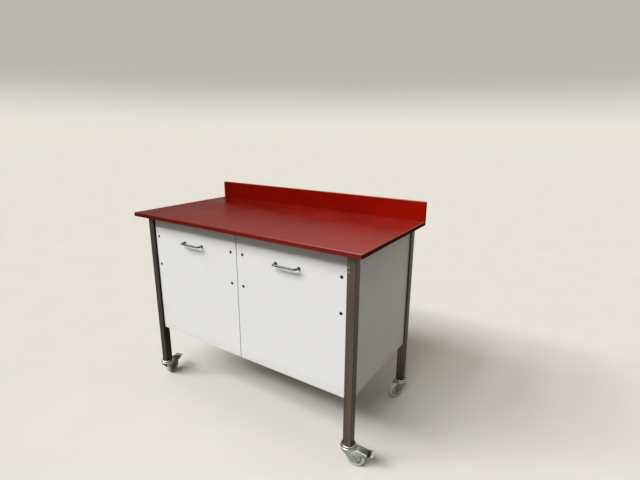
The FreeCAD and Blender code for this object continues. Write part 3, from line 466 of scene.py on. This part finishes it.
def black_moulded_plug(finishes):
    """Injection-moulded polyamide plug: nearly black, finely textured and half matt."""
    material, add = start("black_moulded_plug")
    plug = finishes.plug
    at = add("TexCoord", out="Object")
    # spark-eroded mould texture of 0.6 mm
    grain = add("TexNoise", {"Vector": at, "Scale": 1 / (0.6 * MM), "Detail": 2})
    spread = add("MapRange", {"Value": grain, 1: 0.35, 2: 0.65})
    colour = add("Mix", {0: spread, 6: shade(plug, 0.8), 7: shade(plug, 1.3)}, 2, data_type="RGBA")
    gloss = add("MapRange", {"Value": grain, 1: 0.3, 2: 0.7, 3: 0.45, 4: 0.6})
    bump = add("Bump", {"Height": grain, "Strength": 0.15, "Distance": 0.1 * MM})
    shader = add("BsdfPrincipled", {"Base Color": colour, "Roughness": gloss, "Normal": bump, "IOR": 1.53})
    add("OutputMaterial", {"Surface": shader})
    return material


def shown_rays(add):
    """1 for what the camera sees, in gloss and through glass too, and 0 for light on its way to the table."""
    rays = ("Camera", "Glossy", "Transmission")
    straight, glossy, through = (add("LightPath", out=f"Is {ray} Ray") for ray in rays)
    either = add("Math", {0: straight, 1: glossy}, operation="MAXIMUM")
    return add("Math", {0: either, 1: through}, operation="MAXIMUM")


def painted_floor(stage):
    """Painted floor, faintly mottled: it shows pale, and throws back less light than that onto the table."""
    material, add = start("painted_floor")
    paint = stage.floor
    at = add("TexCoord", out="Object")
    # mottling of about 300 mm
    mottle = add("TexNoise", {"Vector": at, "Scale": 1 / (300 * MM), "Detail": 3})
    soft = add("MapRange", {"Value": mottle, 1: 0.3, 2: 0.7})
    pale = add("Mix", {0: soft, 6: shade(paint, 0.98), 7: shade(paint, 1.01)}, 2, data_type="RGBA")
    colour = add("Mix", {0: shown_rays(add), 6: shade(paint, FLOOR_BOUNCE), 7: pale}, 2, data_type="RGBA")
    add("OutputMaterial", {"Surface": add("BsdfDiffuse", {"Color": colour})})
    return material


def swept_backdrop(stage):
    """A backdrop that sweeps up from the floor and brightens overhead, and an even light from all round."""
    world = bpy.data.worlds.new("studio")
    world.use_nodes = True
    world.node_tree.nodes.clear()
    add = partial(put, world.node_tree)
    rise = add("SeparateXYZ", {"Vector": add("TexCoord", out="Generated")}, out="Z")
    above = add("MapRange", {"Value": rise, 1: 0.35, 2: 0.75}, interpolation_type="SMOOTHSTEP")
    high = add("Mix", {0: above, 6: shade(stage.backdrop, 1), 7: shade(stage.overhead, 1)}, 2,
               data_type="RGBA")
    # it starts in the colour that the lit floor has
    swept = add("MapRange", {"Value": rise, 1: 0, 2: 0.12}, interpolation_type="SMOOTHSTEP")
    lit = (*np.array(stage.floor) * FLOOR_GAIN, 1)
    shown = add("Mix", {0: swept, 6: lit, 7: high}, 2, data_type="RGBA")
    colour = add("Mix", {0: shown_rays(add), 6: shade(stage.fill, 1), 7: shown}, 2, data_type="RGBA")
    add("OutputWorld", {"Surface": add("Background", {"Color": colour})})
    return world


# Shapes

def rounded(corners, cuts, steps=7):
    """A line through corners, each eased: corner B between A and C becomes (1-t)^2 P + 2t(1-t) B + t^2 Q.

    P and Q lie a cut's length from B towards A and C. A corner with no cut stays one sharp point.
    """
    b = np.asarray(corners, float)
    cuts = np.broadcast_to(np.asarray(cuts, float), len(b))[:, None]
    a, c = np.roll(b, 1, 0), np.roll(b, -1, 0)
    p = b + cuts * (a - b) / np.linalg.norm(a - b, axis=1, keepdims=True)
    q = b + cuts * (c - b) / np.linalg.norm(c - b, axis=1, keepdims=True)
    t = np.linspace(0, 1, steps)[:, None]
    eased = (1 - t) ** 2 * p[:, None] + 2 * t * (1 - t) * b[:, None] + t ** 2 * q[:, None]
    eased = eased.reshape(-1, b.shape[1])
    return eased[np.linalg.norm(eased - np.roll(eased, 1, 0), axis=1) > 1e-9]


def turned(profile, steps=72):
    """A profile of (radius, height) turned about Z: (r cos a, r sin a, z) for a full turn of a."""
    angle = np.linspace(0, FULL_TURN, steps, endpoint=False)
    radius, height = profile[:, :1], profile[:, 1:]
    return np.stack([radius * np.cos(angle), radius * np.sin(angle), height + 0 * angle], -1)


def carried(path, section, across):
    """A closed section of (u, v) carried along a path: path + u * across + v * (across x direction)."""
    direction = np.gradient(path, axis=0)
    direction /= np.linalg.norm(direction, axis=1, keepdims=True)
    upward = np.cross(across, direction)
    u, v = section[:, :1], section[:, 1:]
    return path[:, None] + u * np.asarray(across, float) + v * upward[:, None]


def plate(outline, low, high, rim, steps=5):
    """A flat plate in X and Z from y = low to high, with rounded rims.

    Towards each face the outline moves in by rim * (1 - cos a) while y moves out by rim * sin a.
    """
    ahead, behind = np.roll(outline, -1, 0), np.roll(outline, 1, 0)
    along = ahead - behind
    outward = np.stack([along[:, 1], -along[:, 0]], -1) / np.linalg.norm(along, axis=1, keepdims=True)
    area = np.sum(outline[:, 0] * ahead[:, 1] - ahead[:, 0] * outline[:, 1])
    a = np.linspace(np.pi / 2, 0, steps)
    inset = rim * (1 - np.cos(np.concatenate([a, a[::-1]])))
    depth = np.concatenate([low + rim * (1 - np.sin(a)), high - rim * (1 - np.sin(a[::-1]))])
    flat = outline - np.sign(area) * inset[:, None, None] * outward
    return np.stack([flat[..., 0], np.broadcast_to(depth[:, None], flat.shape[:2]), flat[..., 1]], -1)


def on_axle(grid, corner):
    """A grid turned about Z laid onto the wheel's axle: (x, y, z) becomes trail + x, z, axle height + y."""
    axle = np.array(JOINTS[f"{corner}_roll"]["pos_m"])
    trail = np.linalg.norm(axle[:2] - JOINTS[f"{corner}_swivel"]["pos_m"][:2])
    return np.stack([trail + grid[..., 0], grid[..., 2], axle[2] + grid[..., 1]], -1)


def at_corner(grid, corner):
    """A grid measured from the swivel axis, with X along the trail, set at its corner.

    (x, y, z) becomes foot + x * along + y * across + z * up.
    """
    foot = np.array(JOINTS[f"{corner}_swivel"]["pos_m"]) * (1, 1, 0)
    along = (np.array(JOINTS[f"{corner}_roll"]["pos_m"]) - foot) * (1, 1, 0)
    along /= np.linalg.norm(along)
    across = np.cross((0, 0, 1), along)
    return foot + grid[..., :1] * along + grid[..., 1:2] * across + grid[..., 2:] * (0, 0, 1)


def turned_to(back, up, place):
    """The matrix whose Z axis is back, whose Y axis is nearest to up and whose origin is place."""
    back = np.array(back) / np.linalg.norm(back)
    right = np.cross(up, back)
    right /= np.linalg.norm(right)
    columns = np.stack([right, np.cross(back, right), back, place], -1)
    return Matrix(np.vstack([columns, (0, 0, 0, 1)]).tolist())


def surface(name, patches):
    """One mesh object from patches of (grid, ends).

    A grid's rows are closed rings. Its ends are left "open" (poles close by merging), "capped" or "joined".
    """
    places, faces, first = [], [], 0
    for grid, ends in patches:
        rows, columns = grid.shape[:2]
        i, j = np.meshgrid(np.arange(rows - (ends != "joined")), np.arange(columns), indexing="ij")
        k, m = (i + 1) % rows, (j + 1) % columns
        quads = np.stack([i * columns + j, i * columns + m, k * columns + m, k * columns + j], -1)
        faces += (first + quads).reshape(-1, 4).tolist()
        if ends == "capped":
            rings = np.arange(rows * columns).reshape(rows, columns)
            faces += (first + rings[[0, -1]]).tolist()
        places.append(grid.reshape(-1, 3))
        first += rows * columns
    mesh = bpy.data.meshes.new(name)
    mesh.from_pydata(np.concatenate(places).tolist(), [], faces)
    form = bmesh.new()
    form.from_mesh(mesh)
    bmesh.ops.remove_doubles(form, verts=form.verts, dist=1e-7)
    bmesh.ops.recalc_face_normals(form, faces=form.faces)
    form.to_mesh(mesh)
    form.free()
    mesh.shade_smooth()
    mesh.set_sharp_from_angle(angle=radians(35))
    piece = bpy.data.objects.new(name, mesh)
    bpy.context.scene.collection.objects.link(piece)
    return piece


def mark_dirt_and_painted_light(piece, joint, radii, amounts):
    """Gives a piece an attribute of dirt and painted light.

    Each vertex takes the amount for its radius round a joint, read off between the radii given in mm. An
    amount above 0 darkens, as dirt and as painted shade, and an amount below 0 is a painted highlight.
    """
    places = np.empty(3 * len(piece.data.vertices))
    piece.data.vertices.foreach_get("co", places)
    reach = places.reshape(-1, 3) - JOINTS[joint]["pos_m"]
    radius = np.linalg.norm(np.cross(reach, JOINTS[joint]["axis"]), axis=1)
    dirt = piece.data.attributes.new("dirt", "FLOAT", "POINT")
    dirt.data.foreach_set("value", np.interp(radius, MM * np.array(radii), amounts))


def settle(piece, material, slot, body, *nodes):
    """Gives a piece its finish, sets it on its body and lets it stand for the CAD nodes named."""
    piece.data.materials.append(material)
    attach(piece, body)
    if nodes:
        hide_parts(*nodes)


def dress(material, *names):
    """Gives CAD nodes their material."""
    for name in names:
        for holder in frame["nodes"][name].material_slots:
            holder.material = material


# Settings

def colour_setting(name, description, default):
    """A colour that a user may change."""
    return FloatVectorProperty(name=name, description=description, default=default,
                               subtype="COLOR", min=0, max=1)


class TableFinishes(bpy.types.PropertyGroup):
    """Colours of the table's materials."""

    board: colour_setting("Board", "Red board of the top and upstand", linear("850d02"))
    sheet: colour_setting("Sheet", "White sheet of the panels and drawer fronts", linear("ebebec"))
    # the tube's colour is kept dark as a painted reflection of dark surroundings
    tube: colour_setting("Tube", "Ground tube of the frame", linear("62594f"))
    tray: colour_setting("Tray", "Satin sheet of the drawer trays", linear("b4b4b2"))
    bar: colour_setting("Bar", "Polished handles", linear("b4b4b0"))
    bolt: colour_setting("Bolt", "Blackened bolts of the drawer fronts", linear("121211"))
    screw: colour_setting("Screw", "Plain screws", linear("b0afac"))
    slide: colour_setting("Slide", "Plated drawer slides", linear("b4b8ba"))
    zinc: colour_setting("Zinc", "Plated pressings of the casters", linear("a2aaa2"))
    core: colour_setting("Core", "Nylon wheel cores", linear("c6c7bd"))
    tyre: colour_setting("Tyre", "Rubber of the tyres", linear("e2e0d5"))
    plug: colour_setting("Plug", "Plugs in the legs", linear("1c1c1c"))


class TableDetails(bpy.types.PropertyGroup):
    """Sizes of the fine detail that the CAD model leaves plain."""

    rim_round: FloatProperty(name="Sheet rim", description="Rounding along the casters' sheet edges",
                             unit="LENGTH", default=0.8 * MM, min=0.1 * MM, max=0.95 * MM)
    lip_round: FloatProperty(name="Lip", description="Rounding of the rims of the caster heads and crowns",
                             unit="LENGTH", default=3.9 * MM, min=0.5 * MM, max=4 * MM)
    tread_crown: FloatProperty(name="Tread crown", description="Fall of the tread from middle to shoulders",
                               unit="LENGTH", default=0.6 * MM, min=0, max=2 * MM)
    hem_radius: FloatProperty(name="Tray hem", description="Radius of the rolled hem round each tray",
                              unit="LENGTH", default=2.2 * MM, min=1 * MM, max=2.3 * MM)
    screw_radius: FloatProperty(name="Leg screw", description="Head radius of the front right leg's screws",
                                unit="LENGTH", default=3.2 * MM, min=1.5 * MM, max=5 * MM)


class TableStage(bpy.types.PropertyGroup):
    """Floor and light."""

    floor: colour_setting("Floor", "Floor as the camera sees it", linear("d6d3cd"))
    backdrop: colour_setting("Backdrop", "Backdrop as the camera sees it", linear("bab7b0"))
    overhead: colour_setting("Overhead", "Backdrop straight above the table", (1, 1, 0.97))
    lamp: FloatProperty(name="Lamps", description="Strength of the row of lamps together",
                        default=3.9, min=0, max=10)
    lamp_spread: FloatProperty(name="Lamp spread", description="Angle over which each lamp is spread",
                               subtype="ANGLE", default=radians(8), min=0, max=radians(180))
    fill: colour_setting("Fill", "Light from all round", (0.34, 0.326, 0.266))


# Operators

class TABLE_OT_finish_top(bpy.types.Operator):
    """Finish the red top and upstand, and the screws that hold them."""

    bl_idname = "table.finish_top"
    bl_label = "Finish top"

    def execute(self, context):
        finishes = context.scene.table_finishes
        dress(worn_red_polyethylene(finishes), "tabletop", "backsplash")
        dress(plain_stainless_screws(finishes), "top_screws", "backsplash_screws")
        return {"FINISHED"}


class TABLE_OT_finish_panels(bpy.types.Operator):
    """Finish the white panels and their screws."""

    bl_idname = "table.finish_panels"
    bl_label = "Finish panels"

    def execute(self, context):
        finishes = context.scene.table_finishes
        dress(white_polyethylene_sheet(finishes), "side_panel_left", "side_panel_right", "back_panel",
              "bottom_panel", "partition")
        dress(plain_stainless_screws(finishes), "panel_screws")
        return {"FINISHED"}


class TABLE_OT_finish_frame(bpy.types.Operator):
    """Finish the tube frame, each tube with streaks along its own length, and the plugs in its legs."""

    bl_idname = "table.finish_frame"
    bl_label = "Finish frame"

    def execute(self, context):
        finishes = context.scene.table_finishes
        tubes = ([f"{level}_rail_{edge}" for level in ("top", "bottom") for edge in LONG_EDGES],
                 [f"{level}_rail_{side}" for level in ("top", "bottom", "runner") for side in SIDES],
                 [f"leg_{edge}_{side}" for edge in LONG_EDGES for side in SIDES])
        for axis, names in enumerate(tubes):
            dress(ground_stainless_tube(finishes, axis), *names)
        dress(black_moulded_plug(finishes), "leg_plugs")
        return {"FINISHED"}


class TABLE_OT_finish_drawers(bpy.types.Operator):
    """Finish the drawer fronts, trays, handles, bolts and slides."""

    bl_idname = "table.finish_drawers"
    bl_label = "Finish drawers"

    def execute(self, context):
        finishes = context.scene.table_finishes
        for finish, pieces in (
                (white_polyethylene_sheet, ("drawer_front",)), (satin_stainless_sheet, ("drawer_tray",)),
                (polished_stainless_bar, ("drawer_handle",)), (blackened_steel_bolts, ("front_bolts",)),
                (plain_stainless_screws, ("handle_screws",)),
                (zinc_plated_slides, ("slide_fixed", "slide_middle", "slide_running"))):
            dress(finish(finishes), *(f"{piece}_{side}" for piece in pieces for side in SIDES))
        return {"FINISHED"}


class TABLE_OT_make_tray_hems(bpy.types.Operator):
    """Make the rolled hem along the side and rear walls of each tray."""

    bl_idname = "table.make_tray_hems"
    bl_label = "Make tray hems"

    def execute(self, context):
        radius = context.scene.table_details.hem_radius
        steel = satin_stainless_sheet(context.scene.table_finishes)
        half_wall, bend = 0.75 * MM, 5 * MM
        angle = np.linspace(0, FULL_TURN, 16, endpoint=False)
        ring = radius * np.stack([np.cos(angle), np.sin(angle)], -1)
        for side in SIDES:
            low, high = (np.array(corner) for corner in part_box(f"drawer_tray_{side}"))
            left, right, rear = low[0] + half_wall, high[0] - half_wall, high[1] - half_wall
            front, height = low[1] + 2 * half_wall, high[2] - radius / 2
            corners = ((left, front), (left, rear), (right, rear), (right, front))
            path = rounded([(*corner, height) for corner in corners], [0, bend, bend, 0], steps=9)
            hem = surface(f"tray_hem_{side}", [(carried(path, ring, (0, 0, 1)), "capped")])
            settle(hem, steel, "stainless_sheet", f"{side}_drawer")
        return {"FINISHED"}


class TABLE_OT_make_leg_screws(bpy.types.Operator):
    """Make the two small screw heads near the top of the front right leg."""

    bl_idname = "table.make_leg_screws"
    bl_label = "Make leg screws"

    def execute(self, context):
        radius = context.scene.table_details.screw_radius
        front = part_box("leg_front_right")[0][1]
        rise, sunk, ease = 1.6 * MM, -0.2 * MM, 1.2 * MM
        profile = rounded([(0, rise), (radius, rise), (radius, sunk), (0, sunk)], [0, ease, 0, 0])
        dome = turned(profile, steps=24)
        heads = [(np.stack([x * MM + dome[..., 0], front - dome[..., 2], z * MM + dome[..., 1]], -1), "open")
                 for x, z in LEG_SCREWS]
        screws = surface("leg_screws", heads)
        settle(screws, plain_stainless_screws(context.scene.table_finishes), "screw_steel", "table")
        return {"FINISHED"}


class TABLE_OT_make_caster_heads(bpy.types.Operator):
    """Make the casters' fixed heads, with a rounded lip, a stem in the leg and a rivet below."""

    bl_idname = "table.make_caster_heads"
    bl_label = "Make caster heads"

    def execute(self, context):
        lip = context.scene.table_details.lip_round
        profile = rounded(
            MM * np.array([(0, 145), (6, 145), (6, 107), (33, 107), (33, 99), (6, 99), (6, 88.7), (10, 88.7),
                           (10, 85.7), (0, 85.7)]),
            [0, MM, 0, lip, lip, 0, 0, 0.5 * MM, 1.4 * MM, 0])
        heads = [(at_corner(turned(profile), corner), "open") for corner in CORNERS]
        settle(surface("caster_heads_lipped", heads), bright_zinc_pressings(context.scene.table_finishes),
               "zinc_steel", "table", "caster_heads")
        return {"FINISHED"}


class TABLE_OT_make_forks(bpy.types.Operator):
    """Make the casters' forks, a lipped crown over two cheeks with rounded rims, and finish their axles."""

    bl_idname = "table.make_forks"
    bl_label = "Make forks"

    def execute(self, context):
        rim, lip = context.scene.table_details.rim_round, context.scene.table_details.lip_round
        zinc = bright_zinc_pressings(context.scene.table_finishes)
        crown = rounded(MM * np.array([(6.05, 98.7), (37, 98.7), (37, 89), (6.05, 89)]), [0, lip, lip, 0])
        cheek = rounded(
            MM * np.array([(-27, 95.7), (27, 95.7), (40, 86), (48.5, 49.5), (48.5, 32), (12, 32), (-33, 86)]),
            MM * np.array([0, 0, 4, 2, 9, 6, 7]), steps=9)
        patches = [(turned(crown), "joined")]
        # cheeks of 3 mm sheet, 35 mm apart
        for low, high in ((-20.5, -17.5), (17.5, 20.5)):
            patches.append((plate(cheek, low * MM, high * MM, rim), "capped"))
        for corner in CORNERS:
            fork = surface(f"fork_{corner}", [(at_corner(grid, corner), ends) for grid, ends in patches])
            # the painted shade ends below the crown
            mark_dirt_and_painted_light(fork, f"{corner}_roll", (42, 50), (FORK_SHADE[corner], 0))
            settle(fork, zinc, "zinc_steel", f"{corner}_fork", f"caster_fork_{corner}")
            dress(zinc, f"caster_axle_{corner}")
        return {"FINISHED"}


class TABLE_OT_make_pedals(bpy.types.Operator):
    """Make the brake pedals: a pressing with sloping sides and a raised toe, skirts with lugs, and rivets."""

    bl_idname = "table.make_pedals"
    bl_label = "Make brake pedals"

    def execute(self, context):
        rim = context.scene.table_details.rim_round
        zinc = bright_zinc_pressings(context.scene.table_finishes)
        slope = MM * np.array([(40, 0, 92), (89, 0, 78.3)])
        half = np.array([(18.5, 0), (22.8, 5.5), (22.8, 7), (20.8, 7), (20.8, 6.2), (17.5, 2)])
        ease = np.array([1.2, 1, 0, 0, 0.6, 0.6])
        pressing = rounded(MM * np.concatenate([half, half[::-1] * (-1, 1)]),
                           MM * np.concatenate([ease, ease[::-1]]))
        toe = rounded(MM * np.array([(87, 77), (91, 73), (99, 73), (106, 80.5), (111, 81.5), (116, 75)]),
                      MM * np.array([0, 2, 2, 3, 3, 0]))
        toe = np.stack([toe[:, 0], 0 * toe[:, 0], toe[:, 1]], -1)
        strip = rounded(MM * np.array([(-22.8, 0), (22.8, 0), (22.8, 2), (-22.8, 2)]), rim, steps=5)
        skirt = rounded(
            MM * np.array([(13.7, 73), (13.7, 85), (27, 87), (40, 86), (90, 72), (90, 67), (40, 62)]),
            MM * np.array([5, 5, 4, 3, 0, 3, 10]))
        rivet = rounded(MM * np.array([(0, 17.8), (3, 17.8), (3, 22.8), (4.5, 22.8), (4.5, 24), (0, 24)]),
                        MM * np.array([0, 0, 0, 0, 1, 0]))
        pin = turned(rivet, steps=32)
        pivot_x, pivot_z = 20 * MM, 79 * MM
        across = (0, 1, 0)
        patches = [(carried(slope, pressing, across), "capped"), (carried(toe, strip, across), "capped")]
        # skirts of 1.8 mm sheet outside the cheeks
        for low, high in ((-22.7, -20.9), (20.9, 22.7)):
            patches.append((plate(skirt, low * MM, high * MM, rim), "capped"))
        for way in (-1, 1):
            laid = np.stack([pivot_x + pin[..., 0], way * pin[..., 2], pivot_z + pin[..., 1]], -1)
            patches.append((laid, "open"))
        for corner in BRAKED:
            pedal = surface(f"pedal_{corner}", [(at_corner(grid, corner), ends) for grid, ends in patches])
            # dirt lies in the hollow before the toe; elsewhere the pedal at the lit corner gets painted
            # highlights on its slope and toe, and the other pedal painted shade
            slope_mark, hollow_dirt, crest_mark = (-0.3, 0.9, -1) if corner == LIT_CORNER else (0.8, 0.9, 0.8)
            mark_dirt_and_painted_light(pedal, f"{corner}_swivel", (88, 93, 103, 106),
                      (slope_mark, hollow_dirt, hollow_dirt, crest_mark))
            settle(pedal, zinc, "zinc_steel", f"{corner}_pedal", f"brake_pedal_{corner}")
        return {"FINISHED"}


class TABLE_OT_make_wheels(bpy.types.Operator):
    """Make the wheels: a moulded core with filleted hub and web, and a tyre with a crowned tread."""

    bl_idname = "table.make_wheels"
    bl_label = "Make wheels"

    def execute(self, context):
        finishes = context.scene.table_finishes
        fall = context.scene.table_details.tread_crown / MM
        half = np.array([(5.05, 17), (20, 17), (20, 7), (27, 7), (27, 13), (31, 13)])
        core = rounded(MM * np.concatenate([half, half[::-1] * (1, -1)]),
                       MM * np.array([0.4, 1.5, 2, 2, 1, 0.6, 0.6, 1, 2, 2, 1.5, 0.4]))
        # the tyre's seat on the core, its radius, half its width, half its tread, and the shoulders' drop
        seat, radius, side, half_tread, drop = 31.05, 42.5, 14, 8.5, 0.6
        steps = 9
        width = np.linspace(-half_tread, half_tread, steps)
        tread = np.stack([radius - fall * (width / half_tread) ** 2, width], -1)
        outer = radius - fall - drop
        tyre = rounded(MM * np.array([(seat, -side), (outer, -side), (outer, side), (seat, side)]),
                       MM * np.array([0.6, 5, 5, 0.6]), steps)
        # the tread goes between the two shoulders
        tyre = np.concatenate([tyre[:2 * steps], MM * tread, tyre[2 * steps:]])
        nylon, rubber = moulded_nylon_core(finishes), grey_rubber_tyre(finishes)
        for corner in CORNERS:
            # dirt gathers at the tyre's foot and on its tread, and the core's hollow is painted dark as
            # painted shade, most of all at the rear
            hollow_shade = 0.35 if corner in BRAKED else 0.6
            for name, profile, material, slot, radii, dirt in (
                    ("wheel_core", core, nylon, "wheel_plastic", (20, 20.5, 26.5, 27), (0, hollow_shade, hollow_shade, 0)),
                    ("tyre", tyre, rubber, "wheel_rubber", (36.5, 38.5, 41.8, 42.3), (0.3, 0, 0, 0.1))):
                grid = at_corner(on_axle(turned(profile, steps=96), corner), corner)
                piece = surface(f"{name}_formed_{corner}", [(grid, "joined")])
                mark_dirt_and_painted_light(piece, f"{corner}_roll", radii, dirt)
                settle(piece, material, slot, f"{corner}_wheel", f"{name}_{corner}")
        return {"FINISHED"}


class TABLE_OT_set_stage(bpy.types.Operator):
    """Set the floor, the light from all round, the row of lamps and the camera."""

    bl_idname = "table.set_stage"
    bl_label = "Set stage"

    def execute(self, context):
        scene, stage = context.scene, context.scene.table_stage
        scene.view_settings.view_transform = "Standard"
        mesh = bpy.data.meshes.new("floor")
        corners = [(x * FLOOR_REACH, y * FLOOR_REACH, 0) for x, y in ((-1, -1), (1, -1), (1, 1), (-1, 1))]
        mesh.from_pydata(corners, [], [(0, 1, 2, 3)])
        mesh.materials.append(painted_floor(stage))
        floor = bpy.data.objects.new("floor", mesh)
        scene.collection.objects.link(floor)
        scene.world = swept_backdrop(stage)
        # a row of lamps in front of the table and parallel to its front, most of them low and some higher
        rises = np.tile(LAMP_RISES, 3)
        for number, (along, rise) in enumerate(zip(np.linspace(*LAMP_ENDS, len(rises)), rises)):
            lamp = bpy.data.lights.new(f"lamp_{number}", "SUN")
            lamp.energy, lamp.angle = stage.lamp / len(rises), stage.lamp_spread
            holder = bpy.data.objects.new(f"lamp_{number}", lamp)
            holder.matrix_world = turned_to((along, -1, rise), (0, 0, 1), (along, -3, 3))
            scene.collection.objects.link(holder)
        lens = bpy.data.cameras.new("camera")
        lens.sensor_width, lens.lens = SENSOR_WIDTH, FOCAL_LENGTH
        camera = bpy.data.objects.new("camera", lens)
        camera.matrix_world = turned_to(CAMERA_BACK, CAMERA_UP, CAMERA_PLACE)
        scene.collection.objects.link(camera)
        scene.camera = camera
        return {"FINISHED"}


STEPS = (TABLE_OT_finish_top, TABLE_OT_finish_panels, TABLE_OT_finish_frame, TABLE_OT_finish_drawers,
         TABLE_OT_make_tray_hems, TABLE_OT_make_leg_screws, TABLE_OT_make_caster_heads, TABLE_OT_make_forks,
         TABLE_OT_make_pedals, TABLE_OT_make_wheels, TABLE_OT_set_stage)
GROUPS = {"table_finishes": TableFinishes, "table_details": TableDetails, "table_stage": TableStage}


class TABLE_PT_looks(bpy.types.Panel):
    """The table's settings and steps in the sidebar."""

    bl_idname = "TABLE_PT_looks"
    bl_label = "Cutting table"
    bl_space_type = "VIEW_3D"
    bl_region_type = "UI"
    bl_category = "Table"

    def draw(self, context):
        for name, group in GROUPS.items():
            box = self.layout.box()
            for key in group.__annotations__:
                box.prop(getattr(context.scene, name), key)
        for step in STEPS:
            self.layout.operator(step.bl_idname)


CLASSES = (*GROUPS.values(), *STEPS, TABLE_PT_looks)


def register():
    for item in CLASSES:
        bpy.utils.register_class(item)
    for name, group in GROUPS.items():
        setattr(bpy.types.Scene, name, PointerProperty(type=group))


def unregister():
    for name in GROUPS:
        delattr(bpy.types.Scene, name)
    for item in reversed(CLASSES):
        bpy.utils.unregister_class(item)


def main():
    register()
    for step in STEPS:
        getattr(bpy.ops.table, step.bl_idname.split(".")[1])()


if __name__ == "__main__":
    main()
